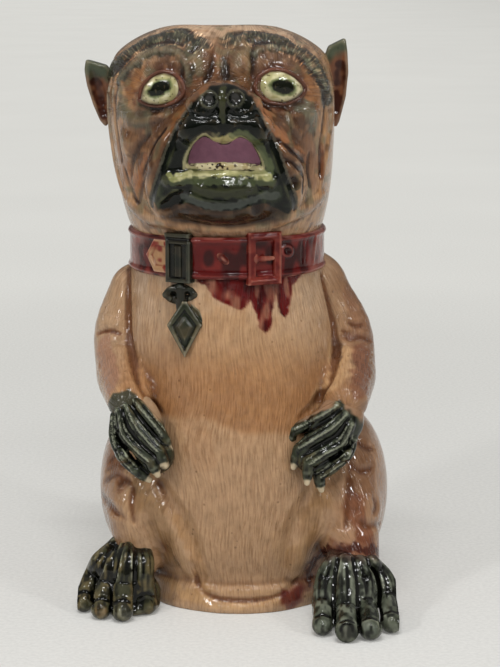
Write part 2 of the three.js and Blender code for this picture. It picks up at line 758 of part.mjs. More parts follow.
function addCollar() {
  addPiece('collar_band', crimsonGlaze, collarSolid(0), collarSolid(seatGap));
  addPiece('strap_keeper', darkGlaze, keeperSolid(0).subtract(keeperPocket()), keeperSolid(seatGap));
  addPiece('collar_tip', crimsonGlaze, collarTipSolid(), null);
  addPiece('keeper_ring', darkGlaze, keeperRingSolid(0), keeperRingSolid(seatGap));
  addPiece('pendant_tag', darkGlaze, pendantSolid(), null);
  addPiece('buckle_frame', crimsonGlaze, buckleSolid(0), buckleSolid(seatGap));
  addPiece('buckle_prong', crimsonGlaze, prongSolid(), null);
  addPiece('collar_rivet', crimsonGlaze, rivetSolid(), null);
}

function addLimbs() {
  addPair('haunch', tanGlaze, haunchSolid, true);
  addPair('hind_foot', darkGlaze, hindFootSolid, false);
  addPair('foreleg', tanGlaze, forelegSolid, true);
  addPair('forepaw', darkGlaze, forepawSolid, false);
}

function addBack() {
  addPiece('handle', tanGlaze, handleSolid(), null);
  addPiece('tail', tanGlaze, tailSolid(), null);
}

addShells();
addFace();
addCollar();
addLimbs();
addBack();

// The origin is the middle of the whole part on the table.
const bounds = new THREE.Box3().setFromObject(group);
const middle = bounds.getCenter(new THREE.Vector3());
group.position.set(-middle.x, -middle.y, -bounds.min.z);

export default group;
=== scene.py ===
import math

import bpy
import numpy as np
import openvdb as vdb
from mathutils import Euler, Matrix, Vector


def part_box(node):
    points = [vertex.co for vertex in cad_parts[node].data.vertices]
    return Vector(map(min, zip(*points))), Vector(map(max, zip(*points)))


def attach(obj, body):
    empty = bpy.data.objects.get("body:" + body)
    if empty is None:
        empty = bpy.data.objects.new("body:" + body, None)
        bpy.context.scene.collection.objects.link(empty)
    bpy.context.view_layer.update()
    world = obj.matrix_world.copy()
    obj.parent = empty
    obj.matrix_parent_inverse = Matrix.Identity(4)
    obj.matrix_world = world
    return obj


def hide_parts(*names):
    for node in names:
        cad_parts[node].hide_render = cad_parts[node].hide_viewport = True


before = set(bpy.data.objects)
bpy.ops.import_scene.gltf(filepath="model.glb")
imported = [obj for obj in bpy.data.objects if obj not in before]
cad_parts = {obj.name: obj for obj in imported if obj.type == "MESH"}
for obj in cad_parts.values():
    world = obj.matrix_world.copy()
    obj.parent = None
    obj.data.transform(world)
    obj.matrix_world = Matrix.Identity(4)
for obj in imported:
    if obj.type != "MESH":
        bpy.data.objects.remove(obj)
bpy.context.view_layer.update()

MM = 0.001

# The foot's place gives the way from the part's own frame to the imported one.
FOOT_FRONT = 45.05
FOOT_LOW, FOOT_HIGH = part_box("base_plinth")
SHIFT = np.array(
    [(FOOT_LOW.x + FOOT_HIGH.x) / 2 / MM, FOOT_LOW.y / MM + FOOT_FRONT, 0.0]
)

# The photograph's size, and an estimate of the camera
PHOTO_WIDTH, PHOTO_HEIGHT = 500, 667
FOCAL = 2060.0
SENSOR = 36.0
CAMERA_PLACE = np.array([4.6, -950.0, 300.0])
CAMERA_PITCH = math.radians(10.6)

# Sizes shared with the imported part, in millimetres
WALL = 5.0
FLOOR = 6.0
SHELL_ROWS_TORSO = [
    # up, half width, front depth, back depth, lean, as shares
    (0, 0.89, 0.85, 0.9, 0),
    (0.04, 0.86, 0.82, 0.87, 0),
    (0.12, 0.93, 0.9, 0.94, 0.02),
    (0.28, 0.99, 0.99, 1, 0.08),
    (0.45, 1, 1.01, 1, 0.2),
    (0.62, 0.98, 0.97, 0.96, 0.4),
    (0.8, 0.94, 0.91, 0.88, 0.7),
    (0.92, 0.87, 0.86, 0.8, 0.92),
    (1, 0.83, 0.83, 0.76, 1),
]
SHELL_ROWS_HEAD = [
    (0, 0.82, 0.82, 0.85, 0),
    (0.085, 0.83, 0.84, 0.86, 0.05),
    (0.12, 0.865, 0.89, 0.9, 0.1),
    (0.16, 0.89, 0.94, 0.94, 0.15),
    (0.29, 0.945, 1, 0.98, 0.3),
    (0.45, 0.98, 1, 1, 0.5),
    (0.62, 1, 0.97, 1, 0.7),
    (0.78, 0.98, 0.93, 0.98, 0.85),
    (0.88, 0.9, 0.85, 0.91, 0.93),
    (0.95, 0.68, 0.66, 0.77, 0.97),
    (1, 0.42, 0.46, 0.56, 1),
]
TORSO = dict(base=5.8, height=157.0, half=51.0, front=51.0, back=55.0, lean=-6.0, middle=0.0)
HEAD = dict(base=163.1, height=103.5, half=51.5, front=50.0, back=47.0, lean=-3.0, middle=-6.0)
TORSO.update(squareness=2.1, rows=SHELL_ROWS_TORSO)
HEAD.update(squareness=2.35, rows=SHELL_ROWS_HEAD)
CROWN = dict(half=24.0, front=21.0, back=22.0)

FAR = 1000.0
TINY = 1e-9
TAPER = 0.45  # how narrow a groove is at its ends, as a share
ROW_STEPS = 240  # even steps of a smoothed table
NOISE_START, NOISE_SEED_STEP = 1000.0, 31.7
NOISE_PRIMES, NOISE_MIX, NOISE_MASK = (73856093, 19349663, 83492791), 1274126177, 0xFFFFFF

# Steps of each clay's grid, in millimetres
BODY_STEP, HEAD_STEP, FACE_STEP = 0.85, 0.7, 0.42
PAW_STEP, FOOT_STEP = 0.42, 0.45
COLLAR_STEP, TRIM_STEP, STUD_STEP = 0.5, 0.28, 0.25
EYE_STEP, EAR_STEP, TEETH_STEP = 0.3, 0.45, 0.3
HANDLE_STEP, TAIL_STEP = 0.55, 0.45

# Reach and full depth of the relief that the paint follows, in millimetres
BODY_RELIEF, HEAD_RELIEF, FACE_RELIEF, SMALL_RELIEF = (2.5, 0.6), (2.2, 0.6), (1.1, 0.3), (1.2, 0.45)


# Curves


def smooth_rows(rows):
    """The columns of a table of shares at even steps of its first column, on a smooth curve."""
    table = np.array(rows, float)
    ups = table[:, 0]
    even = np.linspace(ups[0], ups[-1], ROW_STEPS)
    slot = np.clip(np.searchsorted(ups, even, side="right") - 1, 0, len(ups) - 2)
    gap = (ups[slot + 1] - ups[slot])[:, None]
    t = ((even - ups[slot]) / gap[:, 0])[:, None]
    values = table[:, 1:]
    slopes = np.gradient(values, ups, axis=0)
    a, b = values[slot], values[slot + 1]
    da, db = slopes[slot] * gap, slopes[slot + 1] * gap
    curve = a * (1 + 2 * t) * (1 - t) ** 2 + b * t * t * (3 - 2 * t)
    curve += da * t * (1 - t) ** 2 - db * t * t * (1 - t)
    return even, curve


def curve_through(points, step):
    """Points about a step apart on a Catmull-Rom curve through the given ones."""
    points = np.array(points, float)
    if len(points) == 2:
        count = max(2, int(np.linalg.norm(points[1] - points[0]) / step) + 1)
        return np.linspace(points[0], points[1], count)
    padded = np.vstack([2 * points[0] - points[1], points, 2 * points[-1] - points[-2]])
    pieces = []
    for i in range(1, len(padded) - 2):
        a, b, c, d = padded[i - 1 : i + 3]
        count = max(2, int(np.linalg.norm(c - b) / step) + 1)
        t = np.linspace(0, 1, count, endpoint=False)[:, None]
        pieces.append(
            0.5 * (2 * b + (c - a) * t + (2 * a - 5 * b + 4 * c - d) * t**2 + (3 * b - a - 3 * c + d) * t**3)
        )
    pieces.append(points[-1:])
    return np.vstack(pieces)


def evenly(values, count):
    """A short list of values spread smoothly over a number of points."""
    return np.interp(np.linspace(0, 1, count), np.linspace(0, 1, len(values)), values)


def halfway(near, far):
    """The line of pixels midway between two lines."""
    return [((a[0] + b[0]) / 2, (a[1] + b[1]) / 2) for a, b in zip(near, far)]


def arc(middle, wide, tall, count, start=0.0, end=2 * math.pi):
    """Pixels round a middle one."""
    turn = np.linspace(start, end, count)
    return [(middle[0] + wide * math.cos(a), middle[1] + tall * math.sin(a)) for a in turn]


# Shapes: each is a low corner, a high corner and a function of distance


def ellipsoid(centre, radii, turn=(0, 0, 0)):
    centre, radii = np.array(centre, float), np.array(radii, float)
    spin = np.array(Euler(turn).to_matrix())

    def distance(x, y, z):
        dx, dy, dz = x - centre[0], y - centre[1], z - centre[2]
        near, steep = 0.0, 0.0
        for axis in range(3):
            part = (spin[0, axis] * dx + spin[1, axis] * dy + spin[2, axis] * dz) / radii[axis]
            near = near + part * part
            steep = steep + (part / radii[axis]) ** 2
        near = np.sqrt(near)
        return near * (near - 1) / np.maximum(np.sqrt(steep), 1e-4)

    reach = max(radii)
    return centre - reach, centre + reach, distance


def chain(points, radii):
    """A round limb along points, with its radii spread over them."""
    points = np.array(points, float)
    radii = evenly(radii, len(points))

    def distance(x, y, z):
        best = None
        for a, b, ra, rb in zip(points[:-1], points[1:], radii[:-1], radii[1:]):
            d = b - a
            dx, dy, dz = x - a[0], y - a[1], z - a[2]
            t = np.clip((dx * d[0] + dy * d[1] + dz * d[2]) / max(d @ d, TINY), 0, 1)
            gap = np.sqrt((dx - t * d[0]) ** 2 + (dy - t * d[1]) ** 2 + (dz - t * d[2]) ** 2)
            gap = gap - (ra + t * (rb - ra))
            best = gap if best is None else np.minimum(best, gap)
        return best

    reach = radii.max()
    return points.min(0) - reach, points.max(0) + reach, distance


def block(centre, halves, rounding, turn=(0, 0, 0)):
    """A box with rounded edges."""
    centre, halves = np.array(centre, float), np.array(halves, float)
    spin = np.array(Euler(turn).to_matrix())

    def distance(x, y, z):
        dx, dy, dz = x - centre[0], y - centre[1], z - centre[2]
        outside, inside = 0.0, -FAR
        for axis in range(3):
            part = np.abs(spin[0, axis] * dx + spin[1, axis] * dy + spin[2, axis] * dz)
            part = part - (halves[axis] - rounding)
            outside = outside + np.maximum(part, 0) ** 2
            inside = np.maximum(inside, part)
        return np.sqrt(outside) + np.minimum(inside, 0) - rounding

    reach = np.linalg.norm(halves)
    return centre - reach, centre + reach, distance


def shell(body, grow=0.0, low=-FAR, high=FAR):
    """The outside of the torso or the head: rounded sections that change with height."""
    ups, columns = smooth_rows(body["rows"])
    top = body["base"] + body["height"]
    wide = max(body["half"], body["front"], body["back"]) * 1.05 + abs(body["middle"]) + 10 + grow

    def distance(x, y, z):
        up = np.clip((z - body["base"]) / body["height"], 0, 1)
        half, front, back, lean = (np.interp(up, ups, column).astype(np.float32) for column in columns.T)
        across = x - (body["middle"] + lean * body["lean"])
        depth = np.where(y < 0, front * body["front"], back * body["back"])
        power = body["squareness"]
        ratio = (np.abs(across) / (half * body["half"])) ** power + (np.abs(y) / depth) ** power
        ratio = np.maximum(ratio, 1e-3) ** (1 / power)
        radius = np.sqrt(across**2 + y**2)
        side = radius - radius / ratio - grow
        return np.maximum(side, np.maximum(max(body["base"], low) - z, z - min(top, high)))

    return (
        np.array([-wide, -wide, max(body["base"], low) - 1]),
        np.array([wide, wide, min(top, high) + 1]),
        distance,
    )


def outline_distance(outline, u, v):
    """Distance in a plane to a closed outline, negative inside."""
    outline = np.array(outline, float)
    gap = np.full(np.broadcast(u, v).shape, FAR**2, np.float32)
    inside = np.zeros(gap.shape, bool)
    for a, b in zip(outline, np.roll(outline, -1, axis=0)):
        d = b - a
        du, dv = u - a[0], v - a[1]
        t = np.clip((du * d[0] + dv * d[1]) / max(d @ d, TINY), 0, 1)
        gap = np.minimum(gap, (du - t * d[0]) ** 2 + (dv - t * d[1]) ** 2)
        crosses = (a[1] > v) != (b[1] > v)
        inside ^= crosses & (u < a[0] + (v - a[1]) * d[0] / (d[1] if d[1] else TINY))
    return np.where(inside, -1, 1) * np.sqrt(gap)


def plate(outline, origin, spin, back, front, rounding):
    """A flat outline with thickness and rounded edges. The columns of spin are its right, up and out."""
    origin, spin = np.array(origin, float), np.array(spin, float)

    def distance(x, y, z):
        dx, dy, dz = x - origin[0], y - origin[1], z - origin[2]
        local = [spin[0, axis] * dx + spin[1, axis] * dy + spin[2, axis] * dz for axis in range(3)]
        flat = outline_distance(outline, local[0], local[1]) + rounding
        deep = np.abs(local[2] - (front + back) / 2) - (front - back) / 2 + rounding
        outside = np.sqrt(np.maximum(flat, 0) ** 2 + np.maximum(deep, 0) ** 2)
        return outside + np.minimum(np.maximum(flat, deep), 0) - rounding

    reach = np.abs(np.array(outline, float)).max() * 1.5 + abs(front) + abs(back)
    return origin - reach, origin + reach, distance


def rectangle(width, height):
    across, up = width / 2, height / 2
    return [(-across, -up), (across, -up), (across, up), (-across, up)]


# Clay


def soft_min(a, b, blend):
    if blend <= 0:
        return np.minimum(a, b)
    near = np.maximum(blend - np.abs(a - b), 0) / blend
    return np.minimum(a, b) - near * near * blend / 4


class Clay:
    """Distances to a surface at even steps in a box, negative inside the clay."""

    def __init__(self, low, high, step):
        self.step = step
        self.low = np.array(low, float)
        self.axes = [np.arange(a, b + step, step, dtype=np.float32) for a, b in zip(low, high)]
        self.field = np.full([len(axis) for axis in self.axes], FAR, np.float32)

    def copy(self):
        twin = Clay.__new__(Clay)
        twin.step, twin.low, twin.axes, twin.field = self.step, self.low, self.axes, self.field.copy()
        return twin

    def window(self, low, high):
        cuts = tuple(
            slice(int(np.searchsorted(axis, a)), int(np.searchsorted(axis, b)))
            for axis, a, b in zip(self.axes, low, high)
        )
        x, y, z = (axis[cut] for axis, cut in zip(self.axes, cuts))
        return cuts, x[:, None, None], y[None, :, None], z[None, None, :]

    def meet(self, shape, margin):
        low, high, distance = shape
        cuts, x, y, z = self.window(low - margin, high + margin)
        if 0 in self.field[cuts].shape:
            return cuts, None
        return cuts, distance(x, y, z).astype(np.float32)

    def add(self, shape, blend=0.0):
        cuts, distance = self.meet(shape, blend + 3)
        if distance is not None:
            self.field[cuts] = soft_min(self.field[cuts], distance, blend)

    def cut(self, shape, blend=0.0):
        cuts, distance = self.meet(shape, blend + 3)
        if distance is not None:
            self.field[cuts] = -soft_min(-self.field[cuts], distance, blend)

    def keep(self, shape, blend=0.0):
        """Only what is inside the shape stays."""
        distance = shape[2](*self.window(self.low - 1, self.low + FAR)[1:]).astype(np.float32)
        self.field = -soft_min(-self.field, -distance, blend)

    def push(self, points, radius, depth, taper=TAPER):
        """A soft groove along points, or a ridge where the depth is negative."""
        points = np.array(points, float)
        if len(points) == 1:
            points = np.vstack([points, points + 0.01])
        share = np.sin(np.linspace(0, 1, len(points)) * math.pi) ** 0.5
        radii = radius * (taper + (1 - taper) * share)
        cuts = self.window(points.min(0) - radius, points.max(0) + radius)[0]
        origin = [cut.start for cut in cuts]
        strength = np.zeros(self.field[cuts].shape, np.float32)
        for a, b, ra, rb in zip(points[:-1], points[1:], radii[:-1], radii[1:]):
            reach = max(ra, rb)
            near, px, py, pz = self.window(np.minimum(a, b) - reach, np.maximum(a, b) + reach)
            if 0 in self.field[near].shape:
                continue
            d = b - a
            dx, dy, dz = px - a[0], py - a[1], pz - a[2]
            t = np.clip((dx * d[0] + dy * d[1] + dz * d[2]) / max(d @ d, TINY), 0, 1)
            gap = (dx - t * d[0]) ** 2 + (dy - t * d[1]) ** 2 + (dz - t * d[2]) ** 2
            wide = ra + t * (rb - ra)
            fall = np.maximum(1 - gap / wide**2, 0) ** 2 * (wide / radius)
            local = tuple(slice(n.start - o, n.stop - o) for n, o in zip(near, origin))
            strength[local] = np.maximum(strength[local], fall)
        self.field[cuts] += depth * strength

    def sample(self, points, field=None):
        field = self.field if field is None else field
        at = (np.asarray(points, float) - self.low) / self.step
        top = np.array(field.shape) - 1.001
        at = np.clip(at, 0, top)
        base = at.astype(int)
        f = at - base
        total = 0.0
        for i in (0, 1):
            for j in (0, 1):
                for k in (0, 1):
                    weight = (
                        (f[..., 0] if i else 1 - f[..., 0])
                        * (f[..., 1] if j else 1 - f[..., 1])
                        * (f[..., 2] if k else 1 - f[..., 2])
                    )
                    total = total + weight * field[base[..., 0] + i, base[..., 1] + j, base[..., 2] + k]
        return total

    def refined(self, low, high, step):
        """The same clay in a smaller box at finer steps."""
        low = np.maximum(low, self.low)
        high = np.minimum(high, [axis[-1] for axis in self.axes])
        fine = Clay(low, high, step)
        fine.field = self.sample(np.stack(np.meshgrid(*fine.axes, indexing="ij"), -1)).astype(np.float32)
        return fine.soften().soften()

    def blurred(self, reach):
        """The field averaged over a cube."""
        count = max(1, int(round(reach / self.step)))
        field = np.clip(self.field, -8, 8)
        for axis in range(3):
            padded = np.pad(field, [(count + 1, count) if a == axis else (0, 0) for a in range(3)], "edge")
            total = np.cumsum(padded, axis=axis, dtype=np.float64)
            high = np.take(total, range(2 * count + 1, total.shape[axis]), axis=axis)
            low = np.take(total, range(0, total.shape[axis] - 2 * count - 1), axis=axis)
            field = ((high - low) / (2 * count + 1)).astype(np.float32)
        return field

    def soften(self):
        self.field = self.blurred(self.step)
        return self

    def pin(self, pixels, spacing=2.5):
        """Where the camera's rays through a line of photo pixels first meet the clay."""
        pixels = np.atleast_2d(np.array(pixels, float))
        if len(pixels) > 1:
            pixels = curve_through(pixels, spacing)
        start, way = photo_rays(pixels)
        near = (self.axes[1][0] - start[1]) / way[:, 1]
        reach = near[:, None] + np.arange(0, self.axes[1][-1] - self.axes[1][0], 0.5)[None, :]
        points = start + reach[..., None] * way[:, None, :]
        values = self.sample(points)
        inside = values < 0
        hit = np.where(inside.any(1), inside.argmax(1), values.argmin(1))
        hit = np.maximum(hit, 1)
        rows = np.arange(len(pixels))
        before, after = values[rows, hit - 1], values[rows, hit]
        share = np.where(after < 0, before / np.maximum(before - after, 1e-6), 1.0)
        return start + (reach[rows, hit - 1] + 0.5 * np.clip(share, 0, 1))[:, None] * way

    def mesh(self):
        """Points and four-sided faces of the surface, in the part's own frame."""
        band = 3 * self.step
        padded = np.pad(self.field, 1, constant_values=FAR)
        grid = vdb.FloatGrid(band)
        grid.copyFromArray(np.clip(padded, -band, band))
        points, quads = grid.convertToQuads(0.0)
        points, quads = largest_body(points, quads)
        return points.astype(float) * self.step + self.low - self.step, quads


def largest_body(points, faces):
    """The body with the most faces, without any loose slivers beside it."""
    label = np.arange(len(points))
    while True:
        least = label[faces].min(axis=1)
        lower = label.copy()
        for corner in faces.T:
            np.minimum.at(lower, corner, least)
        lower = lower[lower]
        if (lower == label).all():
            break
        label = lower
    bodies, sizes = np.unique(label[faces[:, 0]], return_counts=True)
    faces = faces[label[faces[:, 0]] == bodies[sizes.argmax()]]
    used, corners = np.unique(faces, return_inverse=True)
    return points[used], corners.reshape(faces.shape)


def photo_rays(pixels):
    pitch = CAMERA_PITCH
    ahead = np.array([0, math.cos(pitch), -math.sin(pitch)])
    right = np.array([1.0, 0, 0])
    above = np.array([0, math.sin(pitch), math.cos(pitch)])
    across = (pixels[:, 0] - PHOTO_WIDTH / 2) / FOCAL
    down = (pixels[:, 1] - PHOTO_HEIGHT / 2) / FOCAL
    way = ahead + across[:, None] * right - down[:, None] * above
    return CAMERA_PLACE, way / np.linalg.norm(way, axis=1)[:, None]


def photo_pixels(points):
    """The photo pixels at which points are seen."""
    pitch = CAMERA_PITCH
    d = points - CAMERA_PLACE
    ahead = d[:, 1] * math.cos(pitch) - d[:, 2] * math.sin(pitch)
    above = d[:, 1] * math.sin(pitch) + d[:, 2] * math.cos(pitch)
    return np.stack(
        [PHOTO_WIDTH / 2 + FOCAL * d[:, 0] / ahead, PHOTO_HEIGHT / 2 - FOCAL * above / ahead], 1
    )


# Glaze


def noise(points, scale, seed=0):
    """Smooth noise from 0 to 1 at points."""
    at = points / np.asarray(scale, float) + NOISE_SEED_STEP * seed + NOISE_START
    base = np.floor(at).astype(np.int64)
    f = at - base
    f = f * f * (3 - 2 * f)
    total = 0.0
    for i in (0, 1):
        for j in (0, 1):
            for k in (0, 1):
                corner = (base + (i, j, k)) * NOISE_PRIMES
                mixed = corner[:, 0] ^ corner[:, 1] ^ corner[:, 2]
                mixed = (mixed ^ (mixed >> 13)) * NOISE_MIX & NOISE_MASK
                weight = (f[:, 0] if i else 1 - f[:, 0]) * (f[:, 1] if j else 1 - f[:, 1])
                total = total + weight * (f[:, 2] if k else 1 - f[:, 2]) * (mixed / NOISE_MASK)
    return total


def ramp(value, low, high):
    t = np.clip((value - low) / (high - low), 0, 1)
    return t * t * (3 - 2 * t)


def distance_to(points, path):
    """From points to a line of points."""
    best = np.full(len(points), FAR)
    if len(path) == 1:
        return np.linalg.norm(points - path[0], axis=1)
    for a, b in zip(path[:-1], path[1:]):
        d = b - a
        t = np.clip((points - a) @ d / max(d @ d, TINY), 0, 1)
        best = np.minimum(best, np.linalg.norm(points - a - t[:, None] * d, axis=1))
    return best


class Coat:
    """Glaze colours on points, as seen on a screen from 0 to 1."""

    def __init__(self, points, colour):
        self.points = points
        self.rgb = np.tile(np.array(colour, float) / 255, (len(points), 1))

    def lay(self, colour, mask):
        mask = np.clip(mask, 0, 1)[:, None]
        self.rgb = self.rgb * (1 - mask) + np.array(colour, float) / 255 * mask

    def drift(self, colour, scale, seed, low, high, share=1.0):
        """Lays a colour where smooth noise is high."""
        self.lay(colour, ramp(noise(self.points, scale, seed), low, high) * share)

    def brush(self, path, radius, colour, strength=1.0, ragged=0.35, seed=1):
        """A stroke of glaze along a path on the surface, with an uneven edge."""
        path = np.atleast_2d(path)
        reach = radius * (1 + ragged)
        low, high = path.min(0) - reach, path.max(0) + reach
        close = np.all((self.points > low) & (self.points < high), axis=1)
        if not close.any():
            return
        at = self.points[close]
        away = distance_to(at, path) / radius + ragged * 2 * (noise(at, radius * 0.7, seed) - 0.5)
        mask = strength * (1 - ramp(away, 0.55, 1.0))[:, None]
        self.rgb[close] = self.rgb[close] * (1 - mask) + np.array(colour, float) / 255 * mask


def linear(rgb):
    rgb = np.clip(rgb, 0, 1)
    return np.where(rgb <= 0.04045, rgb / 12.92, ((rgb + 0.055) / 1.055) ** 2.4)


# Pieces


def new_piece(name, points, faces, material, nodes):
    name = name + "_glazed"
    mesh = bpy.data.meshes.new(name)
    sides = faces.shape[1]
    mesh.vertices.add(len(points))
    mesh.vertices.foreach_set("co", ((points + SHIFT) * MM).astype(np.float32).ravel())
    mesh.loops.add(faces.size)
    mesh.loops.foreach_set("vertex_index", faces.astype(np.int32).ravel())
    mesh.polygons.add(len(faces))
    mesh.polygons.foreach_set("loop_start", np.arange(0, faces.size, sides, dtype=np.int32))
    mesh.polygons.foreach_set("use_smooth", np.ones(len(faces), bool))
    mesh.update(calc_edges=True)
    mesh.validate()
    mesh.materials.append(material)
    piece = bpy.data.objects.new(name, mesh)
    bpy.context.scene.collection.objects.link(piece)
    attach(piece, "root")
    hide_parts(*nodes)
    return piece


def give_colour(piece, coat):
    colours = np.ones((len(coat.points), 4), np.float32)
    colours[:, :3] = linear(coat.rgb)
    attribute = piece.data.color_attributes.new("glaze", "FLOAT_COLOR", "POINT")
    attribute.data.foreach_set("color", colours.ravel())


def give_flow(piece, flow):
    """Millimetres across and along the fur at each point, for the streaks."""
    attribute = piece.data.attributes.new("flow", "FLOAT_VECTOR", "POINT")
    attribute.data.foreach_set("vector", flow.astype(np.float32).ravel())


# Materials


class Tree:
    """A short way to write node trees."""

    def __init__(self, name):
        self.material = bpy.data.materials.new(name)
        self.material.use_nodes = True
        self.tree = self.material.node_tree
        self.tree.nodes.clear()

    def add(self, kind, inputs=(), **settings):
        node = self.tree.nodes.new("ShaderNode" + kind)
        for key, value in settings.items():
            setattr(node, key, value)
        for key, value in dict(inputs).items():
            if isinstance(value, bpy.types.NodeSocket):
                self.tree.links.new(value, node.inputs[key])
            else:
                node.inputs[key].default_value = value
        return node

    def attribute(self, name, output):
        return self.add("Attribute", attribute_name=name).outputs[output]

    def math(self, operation, a, b=0.0):
        return self.add("Math", {0: a, 1: b}, operation=operation).outputs[0]

    def scaled(self, vector, factors):
        return self.add("VectorMath", {0: vector, 1: factors}, operation="MULTIPLY").outputs[0]

    def noise(self, vector, scale, detail=3.0, roughness=0.55):
        inputs = {"Vector": vector, "Scale": scale, "Detail": detail, "Roughness": roughness}
        return self.add("TexNoise", inputs).outputs["Fac"]

    def ranged(self, value, low, high, to_low=0.0, to_high=1.0):
        inputs = {"Value": value, "From Min": low, "From Max": high, "To Min": to_low, "To Max": to_high}
        return self.add("MapRange", inputs).outputs["Result"]

    def mixed(self, factor, a, b, blend="MIX"):
        node = self.add("Mix", data_type="RGBA", blend_type=blend)
        for socket, value in ((node.inputs[0], factor), (node.inputs[6], a), (node.inputs[7], b)):
            if isinstance(value, bpy.types.NodeSocket):
                self.tree.links.new(value, socket)
            else:
                socket.default_value = value
        return node.outputs[2]

    def bump(self, height, strength, distance, below=None):
        inputs = {"Height": height, "Strength": strength, "Distance": distance}
        if below is not None:
            inputs["Normal"] = below
        return self.add("Bump", inputs).outputs[0]


# Scales of the glaze's textures, per metre, and what its grooves and specks multiply the colour by
PATCH_SCALE, CLOUD_SCALE, SPECK_SCALE, RIPPLE_SCALE, PORE_SCALE = 45.0, 190.0, 230.0, 150.0, 900.0
GROOVE_TINT, SPECK_TINT = (0.50, 0.36, 0.26, 1.0), (0.25, 0.17, 0.13, 1.0)
GLASS_IOR, COAT_ROUGHNESS = 1.5, 0.015


def glaze_material(
    name, hair=(0.75, 9.0), streaks=0.6, relief=0.5, specks=0.5, peel=0.10, rough=0.04, thin=1.22, shine=0.4
):
    """Coloured lead glaze over moulded fur: streaks lie along the flow, specks and pits between them."""
    t = Tree(name)
    place = t.add("TexCoord").outputs["Object"]
    flow = t.attribute("flow", "Vector")
    fine = t.noise(t.scaled(flow, (1 / hair[0], 1 / hair[1], 0.0)), 1.0, 3.0, 0.6)
    broad = t.noise(t.scaled(flow, (0.4 / hair[0], 0.5 / hair[1], 1.0)), 1.0, 2.0, 0.5)
    patch = t.noise(place, PATCH_SCALE, 3.0)
    cloud = t.noise(place, CLOUD_SCALE, 4.0, 0.65)
    tufts = t.math("MULTIPLY", t.ranged(broad, 0.46, 0.34), 0.6)
    groove = t.math("MAXIMUM", t.ranged(fine, 0.50, 0.36), tufts)
    spots = t.add("TexVoronoi", {"Vector": place, "Scale": SPECK_SCALE, "Randomness": 1.0})
    lone = t.ranged(spots.outputs["Color"], 0.62, 0.66)
    speck = t.math("MULTIPLY", t.ranged(spots.outputs["Distance"], 0.17, 0.08), lone)
    colour = t.attribute("glaze", "Color")
    deep = t.mixed(1.0, colour, GROOVE_TINT, "MULTIPLY")
    pale = t.mixed(1.0, colour, (thin, thin * 1.01, thin * 1.02, 1.0), "MULTIPLY")
    colour = t.mixed(t.math("MULTIPLY", t.ranged(fine, 0.54, 0.66), streaks), colour, pale)
    streak = t.math("MULTIPLY", groove, t.ranged(patch, 0.3, 0.7, streaks * 0.45, streaks))
    colour = t.mixed(streak, colour, deep)
    light = t.ranged(cloud, 0.25, 0.75, 0.84, 1.16)
    colour = t.mixed(1.0, colour, t.add("CombineXYZ", {0: light, 1: light, 2: light}).outputs[0], "MULTIPLY")
    dark = t.mixed(1.0, colour, SPECK_TINT, "MULTIPLY")
    colour = t.mixed(t.math("MULTIPLY", speck, specks), colour, dark)
    normal = t.bump(t.math("SUBTRACT", 1.0, groove), relief, 0.0005)
    normal = t.bump(t.noise(place, RIPPLE_SCALE, 2.0), peel * 4, 0.0008, normal)
    normal = t.bump(t.noise(place, PORE_SCALE, 2.0), peel, 0.0002, normal)
    normal = t.bump(t.math("SUBTRACT", 1.0, speck), 0.5 * specks, 0.0003, normal)
    roughness = t.ranged(cloud, 0.3, 0.7, rough, rough * 2.0)
    inputs = {"Base Color": colour, "Roughness": roughness, "IOR": GLASS_IOR, "Specular IOR Level": shine}
    inputs.update({"Normal": normal, "Coat Normal": normal})
    inputs.update({"Coat Weight": shine / 2, "Coat Roughness": COAT_ROUGHNESS})
    shader = t.add("BsdfPrincipled", inputs).outputs[0]
    t.add("OutputMaterial", {"Surface": shader})
    return t.material


# Head

# Lines traced on the photograph, in its pixels
FURROW = [(222.5, 28), (223, 42), (223, 60), (224.5, 78)]
FURROW_SLOT = [(226, 60), (226.5, 70), (226, 80)]
COLUMN_EDGE_RIGHT = [(214, 52), (213, 64), (210, 74), (204, 82)]
COLUMN_EDGE_LEFT = [(253.5, 46), (253, 58), (254, 72), (256, 84)]
COLUMN_RIGHT = [(203, 44), (203, 58), (198, 70)]
COLUMN_LEFT = [(240, 40), (243, 56), (238, 70), (242, 82)]
BROW_RIGHT = [(107, 78), (112, 68), (121, 57), (132, 48), (146, 41), (160, 36), (175, 34), (190, 37),
              (201, 44)]
BROW_LEFT = [(233, 38), (248, 36), (264, 37), (281, 41), (296, 48), (309, 57), (319, 68), (326, 82),
             (328, 96)]
LID_RIGHT = [(118, 80), (128, 68), (139, 59), (150, 52), (163, 49), (175, 51), (183, 58), (187, 68),
             (186, 77)]
LID_LEFT = [(254, 54), (262, 48), (275, 46), (289, 48), (301, 54), (311, 63), (320, 74), (327, 88)]
EYE_RIGHT = [(141, 99.5), (144, 87), (153, 77), (164, 73), (175, 76.5), (181.5, 86), (180.5, 95),
             (172, 101.5), (160, 104.5), (149, 103.5)]
EYE_LEFT = [(257, 86), (261, 77), (271, 71.5), (282, 71.5), (293, 76.5), (301, 84), (303, 90), (296.5, 97.5),
            (284, 102), (269, 100.5), (260, 94)]
EYES = {"right": EYE_RIGHT, "left": EYE_LEFT}
NOSTRIL_RIGHT, NOSTRIL_LEFT = (209, 99.5), (235.5, 98.5)
PHILTRUM = [(222.5, 88), (222.5, 99), (222.5, 110), (223, 120)]
MOUSTACHE = [(190, 129), (204, 123), (224, 121), (244, 123), (259, 129)]
NOSE_FOLDS = [[(189, 112), (195, 115.5), (204, 117), (213, 115), (217, 110)],
              [(258, 111), (252, 115), (243, 116.5), (233, 115), (228, 110)]]
NOSE_BEADS = [(191, 109.5), (195, 112), (199, 113.5), (203.5, 113), (208, 113.5), (212, 111), (236, 111.5),
              (240.5, 113), (245, 112.5), (249.5, 113), (253.5, 111), (256.5, 108.5)]
